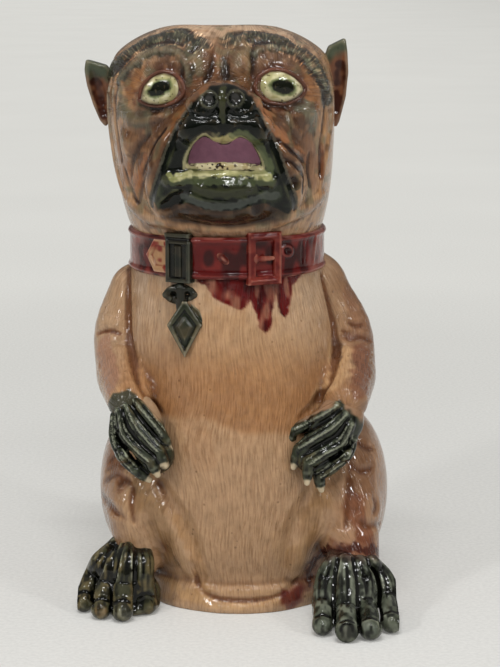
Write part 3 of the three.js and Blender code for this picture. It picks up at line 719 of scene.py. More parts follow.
JOWL_RIGHT = [(199, 118), (188, 133), (179, 152), (172, 173), (167, 192), (168, 204)]
JOWL_LEFT = [(249, 118), (260, 133), (269, 152), (277, 172), (283, 190), (282, 203)]
MUZZLE_SIDE_RIGHT = [(192, 104), (183, 116), (174, 131), (166, 150), (158, 173), (151, 195), (151, 206)]
MUZZLE_SIDE_LEFT = [(257, 108), (265, 121), (272, 135), (280, 152), (288, 176), (296, 197), (296, 208)]
MOUTH = [(187.5, 162), (190, 153), (196, 143), (203.5, 137.2), (209, 138.8), (213.5, 143.5), (218, 147.4),
         (224, 148.2), (230, 147), (234, 141.5), (239, 138), (245, 140), (252, 147), (257.5, 155),
         (260, 161), (260, 167), (250, 168.5), (238, 168.5), (222, 168.5), (205, 168.5), (194, 168.5),
         (188, 167)]
UPPER_LIP = [(184, 167), (186, 154), (193, 141), (203, 133), (210, 133.5), (215, 139), (224, 141.5),
             (232, 138), (238, 133.5), (246, 134.5), (255, 144), (263, 156), (266, 168)]
LOWER_LIP = [(168, 180), (178, 178), (192, 176.5), (208, 175.5), (224, 175), (242, 175.5), (258, 177),
             (271, 181)]
LIP_FOLD = [(176, 187), (190, 190), (204, 195.5), (224, 198.5), (244, 195.5), (258, 190), (268, 188)]
CHIN_FOLD = [(186, 199), (202, 205.5), (223, 208.5), (242, 205.5), (256, 199)]
JAW_HOLLOW_RIGHT = [(184, 194), (175, 200), (164, 208)]
JAW_HOLLOW_LEFT = [(252, 196), (257, 203), (258, 212)]
DEWLAP = [(130, 203), (146, 217), (166, 223), (190, 227), (224, 229), (256, 227), (282, 221), (304, 210),
          (322, 196)]
FLANK_RIGHT = [(112, 78), (109, 92), (109, 110), (110, 130), (114, 155), (121, 185), (129, 205)]
FLANK_LEFT = [(331, 84), (332, 100), (331, 122), (327, 150), (322, 178), (318, 200)]
FLANK_GROOVE_RIGHT = [(118, 82), (115, 98), (115, 118), (118, 140), (122, 162)]
FLANK_GROOVE_LEFT = [(323, 92), (325, 108), (324, 126), (321, 146), (320, 176)]
BAG_RIGHT = [(133, 122), (146, 121), (158, 116), (169, 109)]
BAG_GROOVE_RIGHT = [(139, 106), (149, 110), (161, 110), (173, 105)]
BAG_LEFT = [(272, 108), (284, 113), (292, 124), (300, 137)]
BAG_GROOVE_LEFT = [(262, 102), (274, 108), (290, 106), (302, 98)]
CHEEK_FOLDS_RIGHT = [
    [(166, 128), (156, 141), (148, 158), (141, 178)],
    [(150, 133), (138, 148), (131, 166), (130, 184)],
    [(147, 170), (141, 188), (138, 204)],
    [(124, 168), (128, 184), (137, 203)],
]
CHEEK_FOLDS_LEFT = [
    [(278, 139), (292, 150), (306, 163)],
    [(286, 159), (297, 166), (304, 176), (303, 194)],
    [(310, 152), (309, 168), (311, 188)],
]
CHEEK_BUMPS = [((128, 144), 9, 2.4), ((307, 112), 9, 2.6), ((131, 118), 7, 1.6), ((286, 128), 6, 1.2)]
HEAD_BUMPS = [((240, 40), 4.5, 1.6), ((249, 45), 3.5, 1.0), ((240, 56), 4.5, 1.3), ((248, 66), 4.2, 1.4),
              ((236, 70), 4.2, 1.2), ((203, 50), 4.2, 1.4), ((194, 58), 3.8, 1.2), ((190, 46), 4.0, 1.2)]


CROWN_DOMES = ((-23, 21), (4, 24))  # across, half width


def head_clay(step):
    clay = Clay((-61, -67, 162.4), (48.5, 50, 268.5), step)
    clay.add(shell(HEAD))
    top = HEAD["base"] + HEAD["height"]
    for across, wide in CROWN_DOMES:
        clay.add(ellipsoid((across, -17, top - 17), (wide, 20, 17.5)), 6)
    clay.cut(block((0, 22, top + 28.5), (99, 45, 30), 0, (-0.05, 0, 0)), 4)
    clay.soften()
    return clay


def normals(clay, points):
    step = clay.step
    around = [np.eye(3)[axis] * step for axis in range(3)]
    slope = np.stack([clay.sample(points + d) - clay.sample(points - d) for d in around], -1)
    return slope / np.maximum(np.linalg.norm(slope, axis=-1, keepdims=True), 1e-6)


def sunk(clay, points, depth):
    return points - normals(clay, points) * np.reshape(depth, (-1, 1))


def roll(clay, pixels, radii, rise, blend):
    """Adds a rounded roll along traced pixels, which stands above the surface by its rise."""
    points = clay.pin(pixels)
    wide = evenly(radii, len(points))
    tall = evenly(rise, len(points)) if np.ndim(rise) else rise
    clay.add(chain(sunk(clay, points, wide - tall), wide), blend)


def crease(clay, pixels, radius, depth, taper=TAPER):
    clay.push(clay.pin(pixels), radius, depth, taper)


def bump(clay, pixel, radius, rise):
    point = clay.pin([pixel])
    clay.push(np.vstack([point, point + 0.01]), radius, -rise, 1.0)


def add_muzzle(clay):
    for path in (JOWL_RIGHT, JOWL_LEFT):
        roll(clay, path, [7, 9, 11, 12, 11, 8], [7, 9, 10.5, 10.5, 9, 6], 6)
    roll(clay, MOUSTACHE, [6, 7.5, 8, 7.5, 6], [9, 11, 11.5, 11, 9], 6)
    clay.add(ellipsoid((-7, -46, 192.5), (23, 14.5, 12.5)), 4)
    roll(clay, [(178, 186), (200, 185), (224, 185), (248, 185), (266, 186)], [4.5, 5.5, 6, 5.5, 4.5], 2.2, 3)
    clay.soften()


def add_nose(clay):
    clay.add(ellipsoid((-7.6, -54.5, 235.2), (12.8, 9.6, 8.4)), 3)
    for pixel in ((200, 107), (248, 106)):
        point = clay.pin([pixel])[0]
        clay.add(ellipsoid(point + np.array([0, 3.2, 0]), (6.4, 5.6, 5.4)), 3)
    for pixel in (NOSTRIL_RIGHT, NOSTRIL_LEFT):
        point = clay.pin([pixel])[0]
        clay.push(clay.pin(arc(pixel, 8.4, 8.0, 15)), 1.2, -0.45, 1.0)
        clay.cut(ellipsoid(point + np.array([0, -1.4, 0.1]), (3.3, 3.0, 3.2)), 0.7)
    roll(clay, PHILTRUM, [3.2, 2.8, 1.9, 0.9], [0.8, 1.3, 1.4, 0.6], 1.5)
    for path in NOSE_FOLDS:
        crease(clay, path, 2.2, 1.3, 0.8)


def hole(pixels, depth_from, depth_to):
    """A hole along Y whose outline is a closed line of photo pixels, met near its front."""
    start, way = photo_rays(curve_through(pixels + pixels[:1], 2.0))
    plane = depth_from + 6
    reach = (plane - start[1]) / way[:, 1]
    outline = (start + reach[:, None] * way)[:, [0, 2]]

    def distance(x, y, z):
        gap = outline_distance(outline, x[:, 0, :], z[0])
        along = np.maximum(depth_from - y, y - depth_to)
        return np.maximum(gap[:, None, :], along)

    low = np.array([outline[:, 0].min(), depth_from, outline[:, 1].min()])
    high = np.array([outline[:, 0].max(), depth_to, outline[:, 1].max()])
    return low, high, distance


def add_mouth(clay):
    clay.push(clay.pin(UPPER_LIP), 2.2, -0.8, 0.8)
    roll(clay, LOWER_LIP, [2.6, 3.4, 3.7, 3.4, 2.6], 2.0, 2.0)
    crease(clay, LIP_FOLD, 2.8, 1.4)
    crease(clay, CHIN_FOLD, 3.4, 1.3)


def add_brows(clay):
    for brow, lid in ((BROW_RIGHT, LID_RIGHT), (BROW_LEFT, LID_LEFT)):
        clay.push(clay.pin(brow), 5.6, -1.5, 0.6)
        clay.push(clay.pin(lid), 2.8, -1.3, 0.7)
        clay.push(clay.pin(halfway(brow[1:], lid)), 2.2, 0.8, 0.7)


def brow_hairs(side):
    """Slanting hairs that sweep out to the temple, pressed into the brow."""
    brow, middle, sweep = (BROW_RIGHT, (165, 92), -1) if side == "right" else (BROW_LEFT, (276, 92), 1)

    def press(clay):
        line = curve_through(brow, 1.0)
        along = np.gradient(line, axis=0) * sweep
        for i in range(1, len(line) - 1, 3):
            ahead = line[i] - middle
            ahead = ahead / np.linalg.norm(ahead)
            way = along[i] / np.linalg.norm(along[i])
            slide = 2.2 * math.sin(1.9 * i)
            reach = 6.2 + 1.8 * math.sin(0.83 * i)
            lean = 0.75 + 0.3 * math.sin(0.37 * i)
            start = line[i] + ahead * (slide - reach) - way * reach * lean * 0.6
            end = line[i] + ahead * (slide + reach) + way * reach * lean
            bend = line[i] + ahead * slide * 1.1 + (ahead - way) * 0.9
            crease(clay, [start, bend, end], 0.95, 0.8 + 0.2 * math.sin(5.1 * i), 0.5)

    return press


def nose_beads(clay):
    for i, pixel in enumerate(NOSE_BEADS):
        bump(clay, pixel, 1.3, 0.8 + 0.2 * math.sin(2.3 * i))


def add_eye_folds(clay):
    for outline in EYES.values():
        ring = clay.pin(outline + outline[:1])
        clay.push(ring, 6.5, 1.6, 1.0)
        clay.push(ring, 2.6, -1.2, 1.0)
    for outline, lid in ((EYE_RIGHT, LID_RIGHT), (EYE_LEFT, LID_LEFT)):
        middle = np.mean(outline, axis=0)
        for px, py in curve_through(lid, 5.2)[1:-1]:
            way = np.array([px, py]) - middle
            crease(clay, [middle + way * 0.62, middle + way * 0.93], 1.2, 0.7, 0.5)


# Grooves, and ridges where the depth is negative: lines, radius, depth, taper
FOREHEAD_LINES = [
    ([FURROW], 3.4, 2.6, 0.4),
    ([FURROW_SLOT], 3.0, 1.6, TAPER),
    ([COLUMN_EDGE_RIGHT, COLUMN_EDGE_LEFT], 2.6, 1.8, TAPER),
    ([COLUMN_RIGHT, COLUMN_LEFT], 6.0, -1.8, 0.8),
]
CHEEK_LINES = [
    ([MUZZLE_SIDE_RIGHT, MUZZLE_SIDE_LEFT], 3.6, 1.8, 0.7),
    ([BAG_GROOVE_RIGHT, BAG_GROOVE_LEFT], 2.4, 1.1, TAPER),
    ([BAG_RIGHT, BAG_LEFT], 3.0, -1.5, TAPER),
    (CHEEK_FOLDS_RIGHT + CHEEK_FOLDS_LEFT, 3.0, 1.5, TAPER),
    ([FLANK_RIGHT, FLANK_LEFT], 3.2, -1.5, TAPER),
    ([FLANK_GROOVE_RIGHT, FLANK_GROOVE_LEFT], 2.8, 1.2, TAPER),
    ([DEWLAP], 5.0, -2.4, 0.8),
    ([JAW_HOLLOW_RIGHT, JAW_HOLLOW_LEFT], 4.2, 3.0, 0.7),
]
CHEEK_PIT = (294, 182)


def add_lines(clay, groups):
    for paths, radius, depth, taper in groups:
        for path in paths:
            crease(clay, path, radius, depth, taper)


def add_wrinkles(clay):
    add_lines(clay, FOREHEAD_LINES)
    for pixel, radius, rise in HEAD_BUMPS + CHEEK_BUMPS:
        bump(clay, pixel, radius, rise)
    add_lines(clay, CHEEK_LINES)
    bump(clay, CHEEK_PIT, 4.0, -3.2)


def hollow_head(clay):
    clay.cut(shell(HEAD, -WALL, 162, HEAD["base"] + HEAD["height"] - WALL), 1.0)
    middle = HEAD["middle"] + HEAD["lean"]
    top = HEAD["base"] + HEAD["height"]
    opening = dict(HEAD, base=top - 14, height=24, middle=middle, lean=0.0)
    opening.update(CROWN, rows=[(0, 1, 1, 1, 0), (0.5, 1, 1, 1, 0), (1, 1, 1, 1, 0)])
    clay.cut(shell(opening), 3.0)


def sculpt_head(step):
    clay = head_clay(step)
    add_muzzle(clay)
    add_nose(clay)
    add_wrinkles(clay)
    add_brows(clay)
    add_eye_folds(clay)
    add_mouth(clay)
    skin = clay.copy()
    clay.cut(hole(MOUTH, -70, -30), 1.4)
    hollow_head(clay)
    return clay, skin


# Body

NECK_LEVEL = TORSO["base"] + TORSO["height"]
SIDES = {"right": -1, "left": 1}
SHOULDER, UPPER_ARM, ELBOW, WRIST = (43, 4, 142), (50, 2, 124), (50.5, -8, 107), (49, -40, 99)
ARM_RADII = [13, 15, 14.5, 10]
HAUNCHES = {
    "right": dict(place=(46, -3, 51), radii=(20, 36, 36.5), tilt=0.3),
    "left": dict(place=(47.5, -3, 49), radii=(22, 36, 40), tilt=0.3),
}
SHINS = {
    "right": dict(knee=(47.5, -30, 44), ankle=(47, -33, 22), radii=[12.5, 9.5]),
    "left": dict(knee=(50, -30, 44), ankle=(53, -33, 22), radii=[14, 11]),
}
SHOULDER_RISE = ((37, 5, 146), (11.5, 13, 13.5))  # on the dog's left, up to the collar
STRIDE = {"right": -6, "left": 14}

BASE_LINE = [(194, 562), (196, 575), (201, 589), (217, 597.5), (238, 600), (256, 599.5), (275, 596),
             (289, 589), (298, 578)]
THIGH_FOLDS = [[(144, 484), (156, 503), (168, 525), (180, 548), (190, 570)],
               [(322, 494), (316, 512), (308, 532), (301, 552), (296, 572)]]
THIGH_GROOVES = [[(160, 484), (172, 504), (186, 528), (197, 556)],
                 [(306, 497), (298, 517), (292, 540), (288, 562)]]
BELLY_EDGES = [[(128, 268), (128, 300), (130, 340), (136, 374), (147, 397), (160, 412)],
               [(322, 275), (329, 305), (335, 335), (336, 358), (329, 382), (314, 404), (300, 418)]]
ARM_CREASES = [[(97, 334), (105, 331), (113, 331), (121, 334)],
               [(342, 336), (351, 339), (361, 337), (371, 341)]]
ARM_WRINKLES = [[(341, 330), (348, 333), (356, 331)], [(336, 345), (338, 352), (336, 358)],
                [(348, 322), (356, 326), (364, 324)]]
HAUNCH_FOLDS = [
    [(108, 462), (116, 455), (125, 457)],
    [(106, 470), (117, 464), (128, 468)],
    [(104, 482), (113, 474), (122, 475)],
    [(118, 486), (124, 480), (131, 484)],
    [(107, 500), (116, 512), (126, 519)],
    [(101, 492), (108, 505), (118, 516)],
    [(356, 440), (366, 447), (374, 449)],
    [(352, 466), (362, 471), (373, 468)],
    [(374, 497), (377, 505), (374, 514)],
    [(350, 480), (356, 496), (357, 512)],
    [(360, 520), (368, 526), (380, 524)],
]
SHIN_LINES = [[(351, 446), (350, 470), (348, 500), (345, 528)], [(133, 488), (131, 505), (134, 522)]]
BODY_LINES = [
    (THIGH_FOLDS, 9, -2.6, 0.6),
    (THIGH_GROOVES, 7, 1.6, 0.6),
    (BELLY_EDGES, 3.4, 1.7, 0.7),
    (ARM_CREASES, 2.4, 1.1, 0.5),
    (ARM_WRINKLES, 2.8, 1.3, TAPER),
    (HAUNCH_FOLDS, 3.8, 1.3, TAPER),
    (SHIN_LINES, 3.6, 1.3, 0.6),
    ([BASE_LINE], 2.2, 1.1, 0.8),
]

FOOT_RIM_TOP, FOOT_RIM_GROW = 5.7, 1.0
FOOT_REACH = 40.0
FOOT_SWELLS = ((-1.75, 1.1), (-1.3, 0.7), (-2.3, 0.6), (0.4, 0.8), (1.9, 0.7), (2.8, 0.9))  # turn, rise


def foot_rim(low, high):
    """The foot of the body: the bottom section of the torso, a little wider."""
    section = dict(TORSO, base=low, height=high - low, lean=0.0)
    section["rows"] = [(0, 0.885, 0.85, 0.9, 0), (0.5, 0.885, 0.85, 0.9, 0), (1, 0.87, 0.83, 0.88, 0)]
    return shell(section, FOOT_RIM_GROW)


def arm_points(sign):
    points = []
    for i, (across, back, up) in enumerate((SHOULDER, UPPER_ARM, ELBOW, WRIST)):
        lean = TORSO["lean"] * (1 - i / 4) * min(1, up / NECK_LEVEL)
        points.append((sign * across + lean, back, up))
    return curve_through(points, 6)


def haunch_shapes(sign, grow=0.0):
    side = "left" if sign > 0 else "right"
    haunch, shin = HAUNCHES[side], SHINS[side]
    across, back, up = haunch["place"]
    thigh = ellipsoid((sign * across, back, up), [r + grow for r in haunch["radii"]], (haunch["tilt"], 0, 0))
    ankle = np.array(shin["ankle"]) * (sign, 1, 1) - (0, STRIDE[side] / 2, 0)
    knee = np.array(shin["knee"]) * (sign, 1, 1)
    return [thigh, chain([knee, ankle], [r + grow for r in shin["radii"]])]


def arm_shapes(sign, grow=0.0):
    return [chain(arm_points(sign), [r + grow for r in ARM_RADII])]


def sculpt_body(step):
    clay = Clay((-73, -54, -1.5), (72, 59, 164), step)
    clay.add(shell(TORSO))
    clay.add(ellipsoid(*SHOULDER_RISE), 6)
    clay.add(foot_rim(0.0, FOOT_RIM_TOP + 5), 4)
    for turn, rise in FOOT_SWELLS:
        place = (FOOT_REACH * math.cos(turn), FOOT_REACH * math.sin(turn), 2.4)
        clay.add(ellipsoid(place, (14, 6 + rise, 3.0), (0, 0, turn - math.pi / 2)), 3)
    for sign in SIDES.values():
        for shape in haunch_shapes(sign):
            clay.add(shape, 7)
    for sign in SIDES.values():
        for shape in arm_shapes(sign):
            clay.add(shape, 4)
    clay.soften()
    clay.cut(block((0, 0, -50), (200, 200, 50.05), 0))
    add_lines(clay, BODY_LINES)
    clay.cut(shell(TORSO, -WALL, TORSO["base"] + FLOOR - 0.5, NECK_LEVEL + 9), 2.0)
    return clay


def fill(clay, shapes):
    """Only these shapes, on the clay's own steps."""
    region = clay.copy()
    region.field[:] = FAR
    for shape in shapes:
        region.add(shape)
    return region


LAP, PROUD = 1.2, 0.04  # how far a piece goes under the next one, and stands out for each piece after it


def share_out(clay, regions, step=None, detail=None):
    """Splits the clay into closed pieces, each lapping a little under the next: (piece, surface) by name."""
    pieces, rest = {}, clay.copy()
    for i, (name, shapes) in enumerate(regions.items()):
        surface = rest
        if step:
            low = np.min([shape[0] for shape in shapes], axis=0) - 2
            high = np.max([shape[1] for shape in shapes], axis=0) + 2
            surface = rest.refined(low, high, step)
            if name in (detail or {}):
                detail[name](surface)
        piece = surface.copy()
        region = fill(surface, shapes)
        piece.field = np.maximum(surface.field - PROUD * (len(regions) - i), region.field)
        pieces[name] = (piece, surface)
        if step:
            region = fill(rest, shapes)
        rest = rest.copy()
        rest.field = np.maximum(rest.field, -(region.field + LAP))
    return pieces, rest


# Paws and feet

FINGERS = {
    "right": [
        [(131, 396), (143, 410), (156, 425), (164, 435)],
        [(125, 404), (135, 423), (148, 440), (159, 451)],
        [(118, 410), (123, 433), (136, 449), (150, 461)],
        [(113, 416), (113.5, 438), (122, 457), (134, 471)],
    ],
    "left": [
        [(336, 405), (321, 414.5), (304, 423.5), (293, 429)],
        [(345, 414), (331.5, 427), (313, 438.5), (297, 448)],
        [(351, 425), (341, 444), (324, 453.5), (308, 464)],
        [(354, 440), (348.5, 455), (333.5, 468), (319, 477)],
    ],
}
FINGER_CLAWS = {
    "right": [(168, 446), (164.5, 463.5), (157, 473), (148, 478.5)],
    "left": [(287, 443.5), (294, 465), (307, 480.5), (321, 488)],
}
TOES = {
    "right": [
        [(118, 541), (101, 558), (89, 578)],
        [(123, 532), (110, 553), (104, 582)],
        [(131, 532), (127, 555), (123, 583)],
        [(140, 533), (145, 555), (146, 580)],
    ],
    "left": [
        [(331, 560), (323, 578), (321.5, 603)],
        [(345, 559), (346, 583), (346, 609)],
        [(361, 558), (368, 583), (369, 605)],
        [(375, 562), (387, 579), (390, 600)],
    ],
}
TOE_BALLS = {
    "right": [((84, 602), 4.4), ((101, 609), 4.5), ((122.5, 610.5), 4.9), ((147, 604.5), 4.3)],
    "left": [((322.5, 625), 4.6), ((347, 630.5), 5.2), ((370.5, 628), 5.2), ((391.5, 621.5), 5.0)],
}


def ray_at(pixel, axis, value):
    """Where the camera's ray through a photo pixel meets a plane."""
    start, way = photo_rays(np.atleast_2d(np.array(pixel, float)))
    reach = (value - start[axis]) / way[:, axis]
    return (start + reach[:, None] * way)[0]


def sculpt_paw(side, step):
    sign = SIDES[side]
    wrist = np.array([sign * WRIST[0], WRIST[1], WRIST[2]], float)
    inward = -sign * {"right": 11, "left": 16}[side]
    palm = wrist + np.array([inward / 4, -4.25, -7])
    tips = palm + np.array([inward * 0.75, -3.5, -17])
    low, high = np.minimum(palm, tips) - (17, 16, 17), np.maximum(palm, tips) + (17, 14, 17)
    clay = Clay(low, high, step)
    clay.add(ellipsoid(palm + (0, 0, -2.5), (10.5, 7.5, 11), (0, sign * 0.5, 0)))
    clay.add(chain([palm + (0, 1, 0), tips + (0, 1.5, 0)], [8.2, 8.6]), 5)
    clay.add(chain([wrist + (0, 2.5, -1), palm], [8.0, 7.5]), 4)
    base = clay.copy()
    ends = []
    for traced, claw in zip(FINGERS[side], FINGER_CLAWS[side]):
        top = sunk(base, base.pin(traced), 1.0)
        end = ray_at(claw, 1, top[-1][1] + 1.0)
        knuckle = (top[-1] * 0.55 + end * 0.45) + (0, -0.6, 0)
        clay.add(chain(np.vstack([top, knuckle]), [2.4, 2.9, 3.1, 3.3, 2.6]), 0.8)
        ends.append((knuckle, end))
    for near, far in zip(FINGERS[side][:-1], FINGERS[side][1:]):
        clay.push(clay.pin(halfway(near, far)), 1.7, 1.5, 0.6)
    ridges = []
    for traced in FINGERS[side]:
        for slide in (-3.0, 3.0):
            line = [(px + slide * 0.6, py + slide * (0.8 if sign > 0 else -0.8)) for px, py in traced]
            pinned = clay.pin(line)
            clay.push(pinned, 1.0, 0.5, 0.6)
            ridges.append(pinned)
    claws = []
    for knuckle, end in ends:
        tip = end + (end - knuckle) * 0.2 + (0, -1.0, 0)
        clay.add(chain([knuckle, (knuckle + end) / 2, tip], [2.5, 2.4, 1.4]), 0.5)
        claws.append(np.array([end + (0, -1.0, 0), tip + (end - knuckle) * 0.2]))
    return clay, claws, ridges


def sculpt_foot(side, step):
    sign = SIDES[side]
    across = sign * {"right": 51.5, "left": 47.5}[side]
    stride = STRIDE[side]
    heel_y = -(34 + stride / 2)
    toe_y = -(34 + stride + 33 - 7)
    low, high = (across - 23, toe_y - 13, -0.6), (across + 23, heel_y + 16, 38)
    clay = Clay(low, high, step)
    clay.add(chain([(across, heel_y, 25), (across, heel_y - 8, 19), (across, toe_y + 13.5, 9)], [8, 11, 9]))
    clay.add(ellipsoid((across, (heel_y + toe_y) / 2 + 5, 8), (15, (heel_y - toe_y) / 2, 10)), 5)
    base = clay.copy()
    clay.add(ellipsoid((across, (heel_y + toe_y) / 2 + 2, 3.0), (14.5, (heel_y - toe_y) / 2, 4.5)), 3)
    for traced, (pixel, radius) in zip(TOES[side], TOE_BALLS[side]):
        top = sunk(base, base.pin(traced), 1.4)
        ball = ray_at(pixel, 2, radius)
        neck = (top[-1] + ball) / 2 + (0, 0, 1.0)
        line = curve_through(np.vstack([top[::3], top[-1], neck, ball]), 2.5)
        clay.add(chain(line, [3.6, 4.6, 5.2, 4.9, 4.5, radius * 0.95]), 1.0)
        clay.add(ellipsoid(ball, (radius, radius * 1.1, radius)), 1.2)
    for near, far in zip(TOES[side][:-1], TOES[side][1:]):
        clay.push(clay.pin(halfway(near, far)), 2.2, 2.4, 0.6)
    for (a, _), (b, _) in zip(TOE_BALLS[side][:-1], TOE_BALLS[side][1:]):
        px, py = halfway([a], [b])[0]
        clay.push(clay.pin([(px, py - 14), (px, py + 2)]), 1.8, 1.2, 0.7)
    for i, traced in enumerate(TOES[side]):
        for slide in (-3.4, -1.0, 1.4, 3.8):
            line = [(px + slide + math.sin(3.1 * i + 0.7 * slide + py), py) for px, py in traced]
            clay.push(clay.pin(line), 1.0, 0.8, 0.5)
    for pixel, radius in TOE_BALLS[side]:
        fold = [(pixel[0] - 8, pixel[1] - 8), (pixel[0], pixel[1] - 11), (pixel[0] + 8, pixel[1] - 8)]
        clay.push(clay.pin(fold), 1.6, 1.1, 0.7)
        ring = arc((pixel[0], pixel[1] - 1), 6, 6, 9, 0.9 * math.pi, 2.1 * math.pi)
        clay.push(clay.pin(ring), 1.0, 0.6, 0.7)
    clay.soften()
    clay.cut(block((across, 0, -20), (99, 199, 20.05), 0))
    return clay


# Collar and its trim

COLLAR = dict(height=19.0, thickness=2.6, below=8.0)
COLLAR_MIDDLE = NECK_LEVEL - COLLAR["below"] + COLLAR["height"] / 2
NECK_HALF, NECK_FRONT, NECK_BACK = 51 * 0.83, 51 * 0.83, 55 * 0.76
NECK_X = TORSO["lean"]


def collar_frame(across):
    """Origin and directions of a flat piece that stands on the collar."""
    angle = math.asin(across / (NECK_HALF + COLLAR["thickness"]))
    radius = NECK_FRONT + COLLAR["thickness"]
    origin = (NECK_X + across, -radius * math.cos(angle), COLLAR_MIDDLE)
    spin = [[math.cos(angle), 0, math.sin(angle)], [math.sin(angle), 0, -math.cos(angle)], [0, 1, 0]]
    return np.array(origin), np.array(spin)


def own_box(node):
    """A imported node's low and high corner, in millimetres of the part's own frame."""
    return [np.array(corner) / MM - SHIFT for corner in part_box(node)]


def own_middle(node):
    low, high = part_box(node)
    return (np.array(low) + np.array(high)) / 2 / MM - SHIFT


def box_clay(node, step, margin=2.0):
    """Clay for a small piece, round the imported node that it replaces."""
    low, high = own_box(node)
    return Clay(low - margin, high + margin, step)


def collar_ring(x, y, z):
    """Distance to the neck's section."""
    across = x - NECK_X
    depth = np.where(y < 0, NECK_FRONT, NECK_BACK)
    power = TORSO["squareness"]
    ratio = ((np.abs(across) / NECK_HALF) ** power + (np.abs(y) / depth) ** power) ** (1 / power)
    radius = np.sqrt(across**2 + y**2)
    return (radius - radius / np.maximum(ratio, 0.05)) + 0 * z


STRAP_END = [(316, 236), (314, 250), (313, 263)]
STRAP_STITCHES = [[(307, 240), (306, 262)], [(303, 240), (302.5, 263)]]
STRAP_HOLE = (287, 251)
STRAP_EDGE = [(277, 229), (278, 240), (278, 262), (277, 275)]


def sculpt_collar(step):
    clay = box_clay("collar_band", step, 3.0)
    half = COLLAR["height"] / 2

    def band(x, y, z):
        ring = collar_ring(x, y, z)
        up = np.abs(z - COLLAR_MIDDLE)
        edge = np.exp(-(((up - half + 1.7) / 1.1) ** 2)) * 0.9
        out = np.abs(ring - 1.5) - 1.3 - edge * (ring > 1.5)
        deep = up - half
        inner = np.minimum(np.maximum(out + 0.7, deep + 0.7), 0)
        return np.sqrt(np.maximum(out + 0.7, 0) ** 2 + np.maximum(deep + 0.7, 0) ** 2) + inner - 0.7

    clay.add((clay.low, clay.low + 200, band))
    for path in STRAP_STITCHES:
        crease(clay, path, 1.3, 0.8)
    crease(clay, STRAP_EDGE, 1.6, 0.8, 0.8)
    crease(clay, STRAP_END, 1.8, -0.9, 0.8)
    clay.push(clay.pin(arc(STRAP_HOLE, 5.2, 5.2, 13)), 1.2, -0.8, 1.0)
    bump(clay, STRAP_HOLE, 1.7, -1.4)
    return clay


def sculpt_keeper(step):
    clay = box_clay("strap_keeper", step, 4.5)
    origin, spin = collar_frame(-20.4)
    clay.add(plate(rectangle(12.5, 22.5), origin, spin, -2.3, 3.4, 0.8))
    clay.cut(plate(rectangle(8.3, 15.5), origin - (0, 0, 1.5), spin, 2.0, 6, 0.4), 0.6)
    clay.add(plate(rectangle(3.6, 14.5), origin - (0, 0, 1.5), spin, 1, 3.0, 0.8), 0.5)
    crease(clay, [(167, 239), (180, 240.5), (195, 240)], 1.1, 0.9, 0.8)
    clay.add(plate(rectangle(12.5, 2.0), origin + (0, 0, 10.2), spin, 0, 4.3, 0.9), 0.4)
    return clay


TRIM_SLIDE = np.array([-2.4, 0.3, 0])


def sculpt_ring(step):
    clay = box_clay("keeper_ring", step, 5.5)
    middle = own_middle("keeper_ring") + TRIM_SLIDE
    turn = np.linspace(0, 2 * math.pi, 25)
    ring = [middle + (5.4 * math.cos(a), 0.6, 2.6 * math.sin(a)) for a in turn]
    clay.add(chain(ring, [2.1, 2.1]), 0.3)
    for sign in (-1, 1):
        curl = ((sign * 5.0, -1.0, 1.8), (sign * 6.3, -1.4, 0), (sign * 4.6, -1.6, -1.6))
        clay.add(chain([middle + way for way in curl], [1.5, 1.7, 1.2]), 0.4)
    drop = ((0, -0.6, 2.8), (0.4, -0.8, -2), (0.2, -0.2, -7))
    clay.add(chain([middle + way for way in drop], [2.6, 2.3, 2.0]), 0.8)
    clay.add(chain([middle + (-4, -1.2, 2.6), middle + (4, -1.2, 2.4)], [1.3, 1.3]), 0.5)
    return clay


def sculpt_tag(step):
    clay = box_clay("pendant_tag", step, 5.5)
    middle = own_middle("pendant_tag") + TRIM_SLIDE
    lean = math.atan2(2.0, 25.0)
    spin = np.array(Euler((math.pi / 2 - lean, 0, 0)).to_matrix())
    outer = [(0, -12.8), (8, 2.0), (1.0, 12.6), (-1.0, 12.6), (-8, 2.0)]
    inner = [(0, -9.6), (5.3, 1.8), (0, 8.8), (-5.3, 1.8)]
    clay.add(plate(outer, middle, spin, -2.0, 2.2, 1.2))
    clay.cut(plate(inner, middle, spin, 1.2, 5, 0.3), 0.9)
    clay.add(plate([(p[0] * 0.62, p[1] * 0.62) for p in inner], middle, spin, 0, 1.9, 0.9), 0.8)
    leaf = [(7.6, 0.5), (8.6, 4), (6.8, 8.5), (2.6, 11.8), (4.0, 7.5)]
    clay.add(plate(leaf, middle, spin, -2.2, 0.8, 0.8), 0.8)
    return clay


BUCKLE_ACROSS = 16.6


def sculpt_buckle(step):
    clay = box_clay("buckle_frame", step, 4.5)
    origin, spin = collar_frame(BUCKLE_ACROSS)
    clay.add(plate(rectangle(16.0, 23.8), origin, spin, -2.3, 2.8, 1.1))
    clay.cut(plate(rectangle(8.6, 16.0), origin, spin, -1.6, 6, 1.2), 1.2)
    for level in (-9.8, 9.8):
        clay.add(plate(rectangle(14.0, 1.2), origin + (0, 0, level), spin, 1, 3.3, 0.5), 0.7)
    clay.add(plate(rectangle(1.4, 22.5), origin + spin[:, 0] * 6.8, spin, 1, 3.4, 0.6), 0.6)
    return clay


def sculpt_prong(step):
    clay = box_clay("buckle_prong", step, 4.5)
    origin, spin = collar_frame(BUCKLE_ACROSS)
    right = spin[:, 0]
    start, end = origin - right * 4.4 + spin[:, 2] * 1.4, origin + right * 3.8 + spin[:, 2] * 1.9
    clay.add(chain([start, (start + end) / 2 + spin[:, 2] * 0.6, end], [1.5, 1.3, 0.9]))
    clay.add(ellipsoid(start, (1.9, 1.9, 2.3)), 0.6)
    return clay


